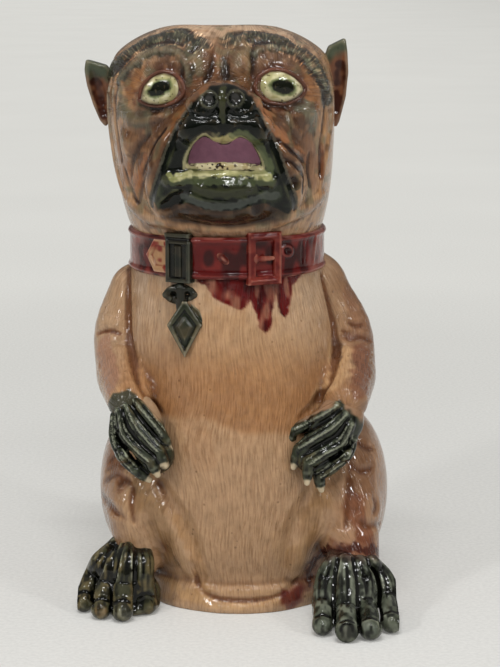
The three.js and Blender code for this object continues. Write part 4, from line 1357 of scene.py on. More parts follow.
def sculpt_rivet(step):
    """A worn stud, leaning to one side."""
    clay = box_clay("collar_rivet", step, 3.0)
    origin, _ = collar_frame(-1.4)
    clay.add(ellipsoid(origin + (0, 0.2, 0), (3.4, 1.8, 1.9), (0, 0.75, 0)))
    clay.add(ellipsoid(origin + (0.2, -0.4, 0.1), (2.0, 1.7, 1.0), (0, 0.75, 0)), 0.5)
    return clay


def sculpt_tip(step):
    clay = box_clay("collar_tip", step)
    origin, spin = collar_frame(-30)
    outline = [(7, -7.5), (7, 7.5), (-2, 7.5), (-7, 0), (-2, -7.5)]
    clay.add(plate(outline, origin, spin, -2.3, 2.0, 0.7))
    inner = [(7.5, -4.6), (7.5, 4.6), (-0.8, 4.6), (-3.8, 0), (-0.8, -4.6)]
    clay.cut(plate(inner, origin, spin, 1.3, 5, 0.3), 0.8)
    return clay


# Ears, eyes and teeth

EAR_OUTLINES = {
    "right": [(86, 59), (95, 61.5), (107, 65), (116, 78), (118, 110), (106, 127), (100, 120), (93, 104),
              (87, 85), (84.5, 70)],
    "left": [(345.5, 37.5), (338, 41), (328, 46), (322, 62), (320, 110), (331, 134), (339, 122), (346, 96),
             (348.5, 72), (347.5, 52)],
}
EAR_HOLLOWS = {
    "right": [(92, 68), (96, 82), (100, 98), (103, 114)],
    "left": [(342, 48), (340.5, 66), (339.5, 86), (336, 110)],
}


def ear_plane(side):
    return own_middle("ear_" + side)[1]


def sculpt_ear(side, step):
    clay = box_clay("ear_" + side, step, 3.5)
    y = ear_plane(side)
    outline = [ray_at(pixel, 1, y) for pixel in EAR_OUTLINES[side]]
    middle = np.mean(outline, axis=0)
    flat = [(p[0] - middle[0], p[2] - middle[2]) for p in outline]
    spin = [[1, 0, 0], [0, 0, -1], [0, 1, 0]]
    clay.add(plate(flat, middle, spin, -4.2, 3.4, 1.5))
    sign = SIDES[side]
    hollow = [ray_at(pixel, 1, y - 4.4) for pixel in EAR_HOLLOWS[side]]
    clay.cut(chain(curve_through(hollow, 3), [1.2, 3.2, 3.6, 2.0]), 1.4)
    back = middle + np.array([sign * 10.5, 6.5, -2])
    clay.cut(ellipsoid(back, (7.5, 5.5, 22)), 2.0)
    return clay.soften().soften()


def sculpt_eye(side, step, skin):
    """An eyeball whose outline is the lids' line, bulging out of the head."""
    outline = EYES[side]
    clay = box_clay("eye_" + side, step, 4.0)
    ring = skin.pin(outline + outline[:1])
    middle = ring.mean(0)
    spin = [[1, 0, 0], [0, 0, -1], [0, 1, 0]]
    flat = [(p[0] - middle[0], p[2] - middle[2]) for p in ring]
    clay.add(plate(flat, middle, spin, -6.0, 6.0, 0.4))
    width = np.ptp(ring[:, 0]) / 2
    height = np.ptp(ring[:, 2]) / 2
    ball = ellipsoid(middle + (0, 2.4, 0), (width * 1.22, 7.2, height * 1.35))
    clay.keep(ball, 0.6)
    return clay


def sculpt_eye_rim(side, step, skin):
    outline = EYES[side]
    clay = box_clay("eye_rim_" + side, step, 3.0)
    grown = np.array(outline) + (np.array(outline) - np.mean(outline, axis=0)) * 0.09
    grown = [tuple(p) for p in grown]
    ring = skin.pin(grown + grown[:1], 1.5)
    clay.add(chain(sunk(skin, ring, 0.1), [0.95, 0.95]), 0.3)
    return clay


def sculpt_teeth(step):
    clay = box_clay("lower_teeth", step, 4.0)
    low, high = own_box("lower_teeth")
    middle = (low + high) / 2
    places = []
    for share in np.linspace(-1, 1, 11):
        x = middle[0] + share * (high[0] - low[0]) * 0.5
        y = low[1] + 3.4 + share**2 * 3.2
        places.append((x, y, middle[2] - 1.0 - 0.8 * share**2))
    clay.add(chain(places, [2.0, 2.4, 2.0]), 0.3)
    for i, (x, y, z) in enumerate(places):
        clay.add(ellipsoid((x, y - 0.5, z + 1.3), (1.9, 1.6, 1.1 + 0.25 * math.sin(2.9 * i))), 0.8)
    return clay


# Handle and tail


def sculpt_handle(step):
    clay = box_clay("handle", step, 4.0)
    low, high = own_box("handle")
    back_y, foot_z, top_z = high[1], low[2] + 7, high[2] - 9
    bottom, top = np.array([-1.9, 52, foot_z - 0.5]), np.array([-7.0, 45, top_z])
    points = [
        bottom + (0, -1, 0),
        (bottom[0], bottom[1] + 18, foot_z + 7),
        (bottom[0], back_y - 11.5, foot_z + (top_z - foot_z) * 0.33),
        (top[0] + 1.5, back_y - 6.5, foot_z + (top_z - foot_z) * 0.66),
        (top[0], back_y - 15, top_z - 2),
        top + (0, -2, 1.0),
    ]
    line = curve_through(points, 4)
    for side in (-1, 1):
        rail = line + np.array([side * 3.2, 0, 0])
        clay.add(chain(rail, [6.2, 5.2, 5.0, 5.2, 6.0]), 1.5 if side > 0 else 0)
    for end, radius in ((bottom, 10.5), (top, 9.5)):
        clay.add(ellipsoid(end + (0, -1.0, 0), (radius, 5.5, radius)), 5)
    knob = line[int(len(line) * 0.8)]
    clay.add(ellipsoid(knob + (0, -1.5, 6.2), (4.0, 5.0, 3.4)), 3)
    return clay


def sculpt_tail(step):
    clay = box_clay("tail", step, 4.0)
    points = []
    for share in np.linspace(0, 1, 26):
        angle = share * 1.15 * 2 * math.pi - math.pi / 2
        radius = 10 * (1 - share / 2)
        x, z = radius * math.cos(angle), radius * math.sin(angle)
        points.append((-0.9 + x, 54.2 + share * 5.6, 29.2 + z))
    clay.add(chain(points, [6.3, 6.3, 5.6, 4.4, 3.0]), 0.5)
    for i in range(2, 26, 3):
        clay.push(np.array([points[i], points[i - 1]]) + (0, 4.5, 0), 3.0, 0.5, 1.0)
    return clay


# Painting

# TOP_LIGHT_TAN is painted top light: the tan made paler on the top of the head and the upper chest, where
# light falls from above.
TAN, TOP_LIGHT_TAN, ORANGE_BROWN, BELLY_TAN = (166, 131, 97), (182, 154, 126), (146, 103, 66), (160, 127, 95)
ARM_TAN, ARM_BROWN, HAUNCH_BROWN = (166, 136, 106), (122, 88, 62), (142, 108, 82)
FACE_BROWN, FACE_ORANGE, CHEEK_BROWN = (82, 56, 38), (112, 72, 42), (104, 74, 52)
SAGE, BROW_DARK, LID_GREY = (96, 97, 80), (38, 38, 28), (88, 88, 72)
EYE_RED, MUZZLE_BLACK, MUZZLE_SAGE = (58, 26, 18), (4, 7, 3), (40, 46, 30)
LIP_YELLOW = (166, 162, 114)
JAW_BROWN, MAUVE = (42, 28, 18), (198, 145, 164)
CRIMSON, CRIMSON_DARK, CRIMSON_PINK = (84, 14, 12), (40, 4, 4), (160, 92, 80)
PAW_DARK, PAW_BLACK, PAW_RIDGE, PAW_OLIVE = (44, 48, 36), (6, 7, 4), (132, 134, 114), (84, 74, 48)
CREAM, CLAW_CREAM, PUPIL, PUPIL_GREEN = (196, 190, 150), (196, 178, 148), (16, 18, 10), (62, 74, 40)

MUZZLE_PATCH = [(196, 100), (190, 106), (174, 131), (165, 152), (157, 174), (151, 198), (158, 209),
                (186, 203), (206, 209), (224, 211), (244, 208), (262, 203), (288, 213), (297, 203),
                (288, 176), (280, 151), (269, 131), (257, 108), (251, 97), (238, 87), (224, 83), (210, 87)]
LIP_PATCH = [(172, 175), (192, 169), (224, 168), (256, 169), (270, 176), (260, 180), (224, 178), (190, 179),
             (174, 182)]
JAW_PATCH = [(156, 207), (186, 200), (224, 209), (262, 201), (292, 209), (284, 219), (256, 224), (224, 226),
             (190, 224), (166, 218)]
DRIP_PATCH = [(197, 262), (197, 281), (205, 285), (212, 297), (227, 305), (240, 310), (247, 305),
              (251, 299), (255, 312), (258, 326), (266, 333), (272, 327), (273, 305), (276, 291),
              (280, 311), (285, 318), (290, 305), (292, 285), (300, 276), (303, 262)]
PAW_PATCH = {
    "right": [(113, 394), (129, 389), (143, 403), (165, 429), (172, 447), (167, 466), (155, 480),
              (130, 484), (106, 464), (101, 437), (106, 410)],
    "left": [(340, 400), (346, 408), (357, 417), (362, 447), (350, 474), (323, 494), (296, 482), (280, 455),
             (283, 439), (299, 425), (321, 411)],
}
BASE_DRIP = [(280, 586), (288, 590), (300, 584), (306, 587), (302, 600), (288, 607), (281, 604)]
# Where the foot meets the body: dark pooled glaze and painted shade.
FOOT_POOL_AND_SHADE = [(308, 580), (311, 568), (317, 558), (328, 552), (346, 549), (370, 550), (384, 556)]


def patch(points, outline, edge, wobble, seed, scale=5.0):
    """Share of a patch outlined in photo pixels, on what faces the camera, with an uneven edge."""
    seen = photo_pixels(points)
    gap = outline_distance(outline, seen[:, 0], seen[:, 1])
    gap = gap + wobble * 2 * (noise(points, scale, seed) - 0.5)
    return (1 - ramp(gap, -edge, edge)) * facing(points)


def facing(points, start=2.0, full=20.0):
    return ramp(-points[:, 1], start, full)


class Relief:
    """How far points stand out of or lie in the modelled surface, about -1 to 1."""

    def __init__(self, clay, reach, depth):
        self.clay, self.depth = clay, depth
        self.soft = clay.blurred(reach)

    def __call__(self, points):
        value = self.clay.sample(points, self.soft) - self.clay.sample(points)
        return np.clip(value / self.depth, -1, 1)


def pool(coat, relief, groove, ridge, dark, light):
    """Glaze gathers dark in grooves and runs thin off ridges."""
    coat.lay(groove, dark * ramp(-relief, 0.08, 0.9))
    coat.lay(ridge, light * ramp(relief, 0.15, 1.0))


def mottle(coat, points, mask):
    """Small drifts where one glaze has run into another."""
    for colour, scale, seed in (((66, 44, 30), 3.2, 81), ((150, 112, 80), 2.6, 82), ((92, 92, 70), 4.4, 83)):
        coat.lay(colour, mask * ramp(noise(points, scale, seed), 0.60, 0.85) * 0.5)


def paint_head(points, skin, relief):
    coat = Coat(points, TAN)
    front = facing(points, 0, 26)
    seen = photo_pixels(points)
    blotch = noise(points, 9, 3) * 0.6 + noise(points, 4, 4) * 0.4
    coat.lay(ORANGE_BROWN, 0.5 * ramp(blotch, 0.45, 0.75))
    away = np.hypot((seen[:, 0] - 222) / 98, (seen[:, 1] - 128) / 100)
    coat.lay(FACE_BROWN, front * (1 - ramp(away + 0.25 * (blotch - 0.5), 0.82, 1.05)))
    # The top of the head is painted paler: a painted sheen of the light from above.
    coat.lay(TOP_LIGHT_TAN, 0.75 * ramp(points[:, 2] + 5 * blotch, 257, 264))
    for line, radius, colour, strength, seed in FACE_STROKES:
        coat.brush(skin.pin(line), radius, colour, strength, 0.5, seed)
    for brow, lid, seed in ((BROW_RIGHT, LID_RIGHT, 5), (BROW_LEFT, LID_LEFT, 6)):
        coat.brush(skin.pin(brow), 6.2, BROW_DARK, 0.95, 0.45, seed)
        coat.brush(skin.pin(lid), 3.4, (44, 42, 30), 0.85, 0.6, seed + 4)
        coat.brush(skin.pin(lid), 1.5, LID_GREY, 0.7, 0.7, seed + 2)
    for outline in EYES.values():
        ring = skin.pin(outline + outline[:1])
        coat.brush(ring, 4.2, (82, 48, 34), 0.6, 0.5, 10)
        coat.brush(ring, 2.4, EYE_RED, 0.9, 0.3, 9)
    # A black crescent of painted shadow under the dog's right eye.
    coat.brush(skin.pin(SHADOW_UNDER_EYE_RIGHT), 1.6, (12, 10, 7), 0.95, 0.2, 47)
    coat.lay(JAW_BROWN, 0.95 * patch(points, JAW_PATCH, 5, 2.5, 11))
    coat.brush(skin.pin([(px, py + 6) for px, py in DEWLAP]), 3.6, (140, 116, 98), 0.65, 0.3, 12)
    mottle(coat, points, front)
    coat.lay(JAW_BROWN, 0.6 * patch(points, JAW_PATCH, 5, 2.5, 22))
    muzzle = patch(points, MUZZLE_PATCH, 1.6, 1.6, 13, 3.0)
    coat.lay(MUZZLE_BLACK, muzzle)
    low_muzzle = muzzle * ramp(seen[:, 1], 128, 150)
    coat.lay(MUZZLE_SAGE, low_muzzle * ramp(noise(points, 4, 14), 0.45, 0.75) * 0.75)
    value = relief(points)
    pool(coat, value, (30, 16, 10), (150, 120, 92), 0.85, 0.3)
    coat.lay(MUZZLE_BLACK, muzzle * ramp(-value, 0.05, 0.5))
    coat.lay((70, 78, 54), low_muzzle * ramp(value, 0.15, 0.9) * 0.55)
    # A thin pale painted highlight along each outer edge of the muzzle.
    for path in (MUZZLE_SIDE_RIGHT, MUZZLE_SIDE_LEFT):
        coat.brush(skin.pin(path), 0.9, (96, 92, 78), 0.6, 0.5, 18)
    coat.brush(skin.pin(PHILTRUM), 1.8, (50, 52, 30), 0.8, 0.4, 15)
    for pixel in (NOSTRIL_RIGHT, NOSTRIL_LEFT):
        # A thin pale ring on each nostril's rim is a painted highlight; the middle below is dark grey.
        coat.brush(skin.pin(arc(pixel, 8.4, 8.2, 13)), 0.7, (84, 88, 74), 0.5, 0.9, 16)
        coat.brush(skin.pin([pixel]), 2.8, (50, 48, 46), 0.9, 0.2, 17)
    for line, radius, colour, strength, seed in LIP_STROKES:
        coat.brush(skin.pin(line), radius, colour, strength, 0.35, seed)
    lips = patch(points, LIP_PATCH, 1.5, 1.0, 19)
    coat.lay((112, 112, 70), lips * ramp(noise(points, (3.0, 3.0, 1.6), 20), 0.48, 0.72) * 0.6)
    coat.lay((208, 200, 158), lips * ramp(noise(points, (2.2, 2.2, 1.3), 21), 0.58, 0.75) * 0.5)
    coat.lay(MAUVE, inside_head(points))
    return coat


def inside_head(points):
    return ramp(-shell(HEAD)[2](points[:, 0], points[:, 1], points[:, 2]), 2.2, 3.6)


# The line of the painted shadow under the dog's right eye.
SHADOW_UNDER_EYE_RIGHT = [(140, 103), (147, 106.5), (156, 107.5), (164, 106)]
FACE_STROKES = [
    ([(213, 50), (216, 66), (214, 80)], 4.5, (98, 64, 40), 0.8, 21),
    ([(219, 40), (219, 60), (219, 78)], 2.6, (108, 74, 50), 0.75, 22),
    ([(240, 40), (243, 58), (240, 78)], 5.0, (92, 78, 52), 0.8, 23),
    ([(199, 44), (196, 58), (198, 70)], 4.6, (98, 92, 70), 0.8, 24),
    ([(240, 64), (243, 76), (252, 84)], 4.0, FACE_ORANGE, 0.7, 25),
    ([(190, 78), (200, 84), (206, 92)], 3.6, FACE_ORANGE, 0.7, 26),
    ([(188, 98), (178, 116), (168, 132)], 3.4, FACE_ORANGE, 0.85, 27),
    ([(262, 108), (272, 124), (284, 142)], 5.0, (146, 98, 66), 0.9, 28),
    ([(128, 60), (124, 74), (128, 88)], 4.5, FACE_ORANGE, 0.8, 29),
    ([(140, 72), (132, 84), (128, 98)], 4.5, (126, 82, 46), 0.8, 30),
    ([(300, 72), (310, 84), (314, 100)], 6.0, (128, 84, 50), 0.8, 31),
    ([(262, 62), (276, 60), (292, 62)], 4.0, (112, 84, 62), 0.7, 32),
    ([(303, 104), (311, 112), (312, 128)], 5.5, SAGE, 0.85, 33),
    ([(120, 112), (130, 118), (142, 118)], 5.0, (84, 78, 60), 0.8, 34),
    ([(124, 136), (138, 140), (152, 142)], 6.0, CHEEK_BROWN, 0.8, 35),
    ([(118, 150), (126, 170), (136, 190)], 6.5, (142, 106, 82), 0.8, 36),
    ([(146, 160), (140, 178), (139, 196)], 3.4, (132, 80, 42), 0.85, 37),
    ([(130, 166), (136, 186), (144, 204)], 2.6, (150, 104, 70), 0.7, 38),
    ([(284, 136), (296, 150), (306, 162)], 4.4, (140, 92, 60), 0.8, 39),
    ([(297, 168), (303, 180), (302, 198)], 4.0, (158, 130, 106), 0.7, 40),
    ([(320, 148), (321, 162), (321, 176)], 2.6, (98, 54, 30), 0.85, 41),
    ([(310, 140), (314, 160), (312, 182)], 4.5, (122, 86, 62), 0.7, 42),
    # The pale grey lines down both sides of the face are painted reflections on the flank ridges.
    ([(109, 74), (108, 100), (110, 128)], 2.2, (128, 122, 104), 0.6, 43),
    ([(330, 84), (331, 106), (329, 130)], 2.0, (140, 132, 116), 0.6, 44),
    ([(294, 182), (294.5, 183)], 3.4, (30, 28, 18), 0.9, 45),
    ([(224, 62), (226, 78)], 2.6, (52, 50, 44), 0.85, 46),
]
LIP_STROKES = [
    ([(184, 168), (186, 156), (193, 144), (203, 134.5), (211, 138), (216, 143.5), (224, 145), (233, 142),
      (239, 136), (248, 140), (257, 151), (263, 163), (264, 172)], 0.95, (150, 142, 106), 0.85, 51),
    ([(215, 139.5), (219, 141.5), (224, 142), (229, 141.5), (232, 139.5)], 3.8, (178, 166, 118), 0.95, 52),
    ([(232, 136), (242, 133), (251, 137), (260, 146), (267, 160), (270, 172)], 2.2, (92, 100, 66), 0.65, 53),
    ([(188, 166), (200, 167), (224, 167), (248, 167.5), (262, 169)], 1.8, (186, 174, 132), 0.9, 59),
    ([(196, 190), (212, 193), (226, 193.5), (240, 192.5), (252, 189)], 3.6, (48, 50, 32), 0.9, 56),
    ([(174, 183), (192, 181), (208, 181), (224, 182), (242, 181), (258, 182),
      (270, 182)], 2.4, (66, 72, 48), 0.85, 58),
    ([(178, 176.5), (192, 174), (208, 173), (224, 173), (242, 173), (258, 174.5),
      (268, 177)], 2.2, LIP_YELLOW, 0.92, 54),
    ([(169, 175), (171, 178), (175, 180)], 1.6, (134, 134, 84), 0.8, 55),
    ([(263, 172), (267, 176), (270, 179)], 1.6, (130, 130, 88), 0.75, 60),
    ([(184, 196), (200, 203), (224, 206), (246, 202), (262, 196), (276, 196)], 2.4, (74, 78, 72), 0.75, 57),
]


def paint_body(points, clay, relief):
    coat = Coat(points, TAN)
    front = facing(points, -4, 18)
    seen = photo_pixels(points)
    py = seen[:, 1]
    blotch = noise(points, 14, 3) * 0.6 + noise(points, 5, 4) * 0.4
    # The upper chest is painted paler where light from above falls on it: painted top light, mottled.
    coat.lay(TOP_LIGHT_TAN, (1 - ramp(py, 280, 370)) * 0.75 * front * ramp(blotch, 0.25, 0.6))
    # The orange-brown of the low chest stops at an arc; the lighter tan below it is a painted reflection of
    # the floor.
    reflection_edge = 413 + 18 * ramp(seen[:, 0], 190, 250) + 5 * (blotch - 0.5)
    low_chest = ramp(py, 330, 392) * (1 - ramp(py - reflection_edge, -3, 8))
    coat.lay(ORANGE_BROWN, low_chest * front * (0.65 + 0.35 * blotch))
    coat.lay(BELLY_TAN, ramp(py, 430, 460) * 0.7)
    coat.lay((148, 112, 80), (1 - front) * 0.55 * ramp(blotch, 0.35, 0.7))
    right_side = ramp(points[:, 0], 36, 52)
    left_side = ramp(-points[:, 0], 50, 62)
    high = ramp(points[:, 2], 88, 98)
    coat.lay(ARM_BROWN, right_side * high * ramp(blotch, 0.2, 0.6) * 0.85)
    coat.lay(ARM_TAN, left_side * high * 0.8)
    coat.lay(HAUNCH_BROWN, np.maximum(right_side, left_side) * (1 - high) * 0.85)
    for line, radius, colour, strength, seed in BODY_STROKES:
        coat.brush(clay.pin(line), radius, colour, strength, 0.5, seed)
    value = relief(points)
    pool(coat, value, (84, 48, 26), (198, 166, 130), 0.8, 0.35)
    drip = patch(points, DRIP_PATCH, 1.0, 1.6, 61, 3.0)
    drip = drip * (0.45 + 0.55 * ramp(noise(points, (2.2, 2.2, 9), 62), 0.25, 0.5))
    coat.lay(CRIMSON, drip)
    coat.lay(CRIMSON_DARK, drip * ramp(noise(points, (3, 3, 8), 63), 0.5, 0.75) * 0.7)
    coat.lay((84, 26, 20), patch(points, BASE_DRIP, 3.0, 4.0, 64) * (0.5 + 0.5 * noise(points, 3, 66)))
    above_paws = 1 - ramp(py, 410, 420)
    for side in SIDES:
        coat.lay(PAW_DARK, patch(points, PAW_PATCH[side], 1.2, 2.0, 68, 3.0) * above_paws * 0.85)
    # Dark pooled glaze and painted shade along the line where the foot meets the body.
    coat.brush(clay.pin(FOOT_POOL_AND_SHADE), 5.5, (104, 60, 42), 0.55, 0.8, 67)
    coat.brush(clay.pin(FOOT_POOL_AND_SHADE), 2.8, (52, 20, 15), 0.75, 0.8, 65)
    return coat


BODY_STROKES = [
    ([(140, 490), (158, 520), (172, 560)], 7.0, (124, 94, 62), 0.6, 71),
    ([(320, 500), (308, 530), (300, 565)], 7.0, (134, 100, 64), 0.6, 72),
    ([(180, 520), (198, 560), (204, 590)], 4.0, (146, 108, 68), 0.5, 73),
    ([(104, 345), (106, 362), (110, 384)], 7.0, (150, 108, 84), 0.75, 74),
    ([(342, 352), (340, 372), (322, 396)], 7.0, (178, 142, 102), 0.8, 75),
    ([(362, 350), (364, 372), (358, 392)], 6.0, (110, 66, 44), 0.75, 76),
    ([(350, 290), (360, 312), (370, 336)], 8.0, (122, 84, 60), 0.6, 77),
    ([(98, 334), (108, 331), (120, 334)], 1.2, (126, 76, 52), 0.45, 78),
    ([(343, 337), (358, 338), (371, 341)], 1.6, (104, 66, 46), 0.45, 79),
    ([(336, 344), (338, 352), (337, 360)], 3.0, (88, 66, 52), 0.7, 80),
    ([(112, 458), (118, 466), (120, 480)], 6.0, (120, 78, 52), 0.7, 81),
    ([(360, 444), (366, 462), (366, 486)], 7.0, (118, 82, 56), 0.7, 82),
    ([(352, 500), (360, 520), (366, 534)], 6.0, (104, 58, 36), 0.7, 83),
    # A thin pale painted highlight along the ridge at the belly's edge.
    ([(128, 268), (128, 310), (131, 348)], 1.8, (186, 158, 124), 0.5, 84),
    ([(150, 572), (196, 598), (240, 604), (290, 596)], 3.0, (178, 140, 96), 0.5, 85),
    ([(166, 350), (190, 420), (200, 460)], 8.0, (152, 112, 78), 0.3, 86),
]


BODY_REACH = 48.0  # the radius at which millimetres round the body are measured


def flow_round(points):
    """Fur that runs down the body: millimetres round it, then millimetres up."""
    angle = np.arctan2(points[:, 0], -points[:, 1])
    wander = 5 * (noise(points, 26, 7) - 0.5)
    return np.stack([angle * BODY_REACH + wander, points[:, 2], np.zeros(len(points))], 1)


def face_flow(points):
    """Hair that stands out from each eye in its ring of brow and lid, and runs down elsewhere."""
    flow = flow_round(points)
    seen = photo_pixels(points)
    front = points[:, 1] < 0
    for middle, width, height in (((163, 92), 62, 62), ((276, 91), 58, 60)):
        at = (seen - middle) / (width, height)
        away = np.hypot(at[:, 0], at[:, 1])
        near = front & (away < 1) & (seen[:, 1] < middle[1] + 20)
        angle = np.arctan2(at[:, 0], -at[:, 1])
        ring = np.stack([angle * 20, away * 28 + 400, np.zeros(len(points))], 1)
        flow[near] = ring[near]
    flow[inside_head(points) > 0.5] = 0
    return flow


def flow_along(line, radius):
    """Fur that runs along a limb: millimetres round it, then millimetres along it."""
    line = np.array(line, float)
    before = np.concatenate([[0], np.cumsum(np.linalg.norm(np.diff(line, axis=0), axis=1))])

    def flow(points):
        best = np.full(len(points), FAR)
        field = np.zeros((len(points), 3))
        for i, (a, b) in enumerate(zip(line[:-1], line[1:])):
            d = b - a
            long = np.linalg.norm(d)
            t = (points - a) @ d / long**2
            held = np.clip(t, 0 if i else -9, 1 if i < len(line) - 2 else 9)
            off = points - a - held[:, None] * d
            away = np.linalg.norm(points - a - np.clip(t, 0, 1)[:, None] * d, axis=1)
            near = away < best
            best[near] = away[near]
            out = np.cross(d / long, (0.3, 0.5, 0.8))
            out = out / np.linalg.norm(out)
            up = np.cross(d / long, out)
            angle = np.arctan2(off @ out, off @ up)
            field[near, 0] = (angle * radius)[near]
            field[near, 1] = (before[i] + held * long)[near]
        field[:, 0] += 4 * (noise(points, 18, 7) - 0.5)
        return field

    return flow


def plain_coat(base, groove, ridge, second=None, seed=1, dark=0.7, light=0.5):
    """A painter for a small piece: one colour with drifts of a second one, dark in its grooves."""

    def paint(points, relief):
        coat = Coat(points, base)
        if second:
            drift = noise(points, 5, seed) * 0.6 + noise(points, 2, seed + 1) * 0.4
            coat.lay(second, ramp(drift, 0.4, 0.65) * 0.8)
        pool(coat, relief(points), groove, ridge, dark, light)
        return coat

    return paint


def paint_collar(points, relief):
    coat = Coat(points, CRIMSON)
    coat.drift((130, 48, 38), (8, 8, 5), 84, 0.5, 0.75, 0.4)
    coat.drift(CRIMSON_DARK, (4, 4, 7), 85, 0.42, 0.66, 0.85)
    pool(coat, relief(points), CRIMSON_DARK, CRIMSON_PINK, 0.9, 0.75)
    edge = np.abs(points[:, 2] - COLLAR_MIDDLE) / (COLLAR["height"] / 2) + 0.25 * (noise(points, 4, 86) - 0.5)
    coat.lay((176, 120, 104), ramp(edge, 0.88, 1.0) * 0.6)
    # The collar's sides, where it turns away, are painted pinkish grey: a painted reflection of the pale
    # room.
    side = ramp(np.abs(points[:, 0] - NECK_X) / NECK_HALF + 0.2 * (noise(points, 5, 87) - 0.5), 0.82, 0.98)
    coat.lay((150, 104, 92), side * 0.6)
    return coat


def paint_paw(side, claws, ridges):
    def paint(points, relief):
        coat = Coat(points, PAW_DARK)
        coat.drift(PAW_OLIVE, 6, 31, 0.55, 0.8, 0.6)
        coat.drift(PAW_BLACK, (1.4, 2.4, 3.6), 35, 0.4, 0.8, 0.6)
        value = relief(points)
        coat.lay(PAW_BLACK, ramp(-value, -0.05, 0.35))
        coat.lay(PAW_RIDGE, 0.85 * ramp(value, 0.2, 0.8) * ramp(noise(points, 1.5, 36), 0.3, 0.55))
        for i, line in enumerate(ridges):
            coat.brush(line + (0, 0, 1.0), 0.6, (156, 158, 138), 0.75, 0.7, 60 + i)
        for i, line in enumerate(claws):
            coat.brush(line, 2.6, CLAW_CREAM, 0.95, 0.2, 40 + i)
        near_wrist = 1 - ramp(photo_pixels(points)[:, 1], 416, 428)
        bare = (1 - patch(points, PAW_PATCH[side], 1.5, 2.5, 39, 3.0)) * near_wrist
        coat.lay({"right": ARM_TAN, "left": (146, 112, 86)}[side], bare * 0.9)
        return coat

    return paint


BALL_COLOURS = {
    "right": [((101, 611), (146, 112, 74)), ((124, 613), (126, 126, 112))],
    "left": [((323, 626), (104, 110, 98)), ((347, 634), (118, 116, 104)), ((371, 629), (96, 102, 92))],
}


def paint_foot(side):
    def paint(points, relief):
        base, second = ((88, 78, 52), (46, 48, 34)) if side == "right" else ((100, 104, 90), (54, 58, 46))
        coat = Coat(points, base)
        coat.drift(second, 5, 33, 0.3, 0.75, 0.8)
        for pixel, colour in BALL_COLOURS[side]:
            near = 1 - ramp(np.linalg.norm(photo_pixels(points) - pixel, axis=1), 4, 9)
            coat.lay(colour, 0.6 * near * facing(points, 30, 40))
        coat.drift(PAW_BLACK, (1.4, 2.4, 3.6), 34, 0.4, 0.8, 0.65)
        value = relief(points)
        coat.lay((8, 8, 5), ramp(-value, -0.05, 0.35))
        coat.lay((158, 158, 138), 0.85 * ramp(value, 0.2, 0.8) * ramp(noise(points, 1.6, 37), 0.3, 0.55))
        # The top of the foot, where it meets the body, is dark maroon: pooled glaze and painted shade.
        if side == "left":
            high = 1 - ramp(photo_pixels(points)[:, 1] + 10 * (noise(points, 3, 38) - 0.5), 549, 566)
            coat.lay((44, 17, 13), high * 0.85)
        return coat

    return paint


def paint_eye(side):
    middle_px, long_px, short_px, turn = {
        "right": ((159.5, 88.5), 12.5, 7.4, -0.45),
        "left": ((283.0, 87.0), 13.0, 7.8, 0.12),
    }[side]

    def paint(points, relief):
        coat = Coat(points, CREAM)
        seen = photo_pixels(points) - middle_px
        along = seen[:, 0] * math.cos(turn) + seen[:, 1] * math.sin(turn)
        across = -seen[:, 0] * math.sin(turn) + seen[:, 1] * math.cos(turn)
        away = np.hypot(along / long_px, across / short_px) + 0.3 * (noise(points, 1.6, 3) - 0.5)
        coat.drift((150, 146, 98), 3.0, 4, 0.4, 0.7, 0.75)
        coat.drift((204, 202, 172), 2.4, 6, 0.6, 0.75, 0.6)
        coat.lay(PUPIL_GREEN, 0.7 * (1 - ramp(away, 0.95, 1.3)))
        coat.lay(PUPIL, 1 - ramp(away, 0.8, 1.0))
        coat.drift((60, 52, 36), 0.9, 5, 0.76, 0.84, 0.8)
        outline = EYES[side]
        # The eye is painted darker towards its edge: a brownish painted shade from the lids, and a dark rim
        # that is partly the lid's own line and partly painted lid shadow.
        inner = patch(points, outline, 2.4, 0.8, 7)
        coat.lay((112, 92, 62), (1 - patch(points, outline, 7.0, 1.5, 8)) * 0.55)
        coat.lay((40, 24, 17), (1 - inner) * 0.9)
        return coat

    return paint


def paint_teeth(points, relief):
    coat = Coat(points, (204, 192, 152))
    coat.drift((176, 158, 112), 2.4, 10, 0.45, 0.7, 0.8)
    pool(coat, relief(points), (96, 74, 44), (222, 214, 184), 0.8, 0.5)
    left = 1 - ramp(points[:, 0], -8, 4)
    coat.lay((36, 24, 16), ramp(noise(points, (1.1, 1.6, 0.8), 11), 0.62, 0.7) * (0.35 + 0.6 * left))
    return coat


def paint_ear(side):
    def paint(points, relief):
        coat = Coat(points, (104, 66, 44))
        seen = photo_pixels(points)
        top = 38 if side == "left" else 59
        front = facing(points, -2.0, 5.0)
        coat.lay((58, 26, 18), front * 0.85 * ramp(noise(points, (3, 3, 9), 6), 0.3, 0.6))
        coat.lay((62, 68, 52), 1 - ramp(seen[:, 1] + 16 * (noise(points, 4, 7) - 0.5), top + 12, top + 26))
        # The ear's hollow is painted dark red-brown: pooled glaze and painted shade.
        hollow = [ray_at(pixel, 1, ear_plane(side) - 3.0) for pixel in EAR_HOLLOWS[side][1:]]
        coat.brush(curve_through(hollow, 3), 3.2, (38, 14, 10), 0.75, 0.4, 9)
        pool(coat, relief(points), (28, 12, 8), (140, 130, 110), 0.8, 0.6)
        return coat

    return paint


def paint_tip(points, relief):
    coat = Coat(points, (158, 120, 84))
    coat.drift((112, 34, 24), 2.6, 8, 0.46, 0.7)
    pool(coat, relief(points), (92, 22, 16), (204, 158, 138), 0.9, 0.9)
    return coat


# Assembly


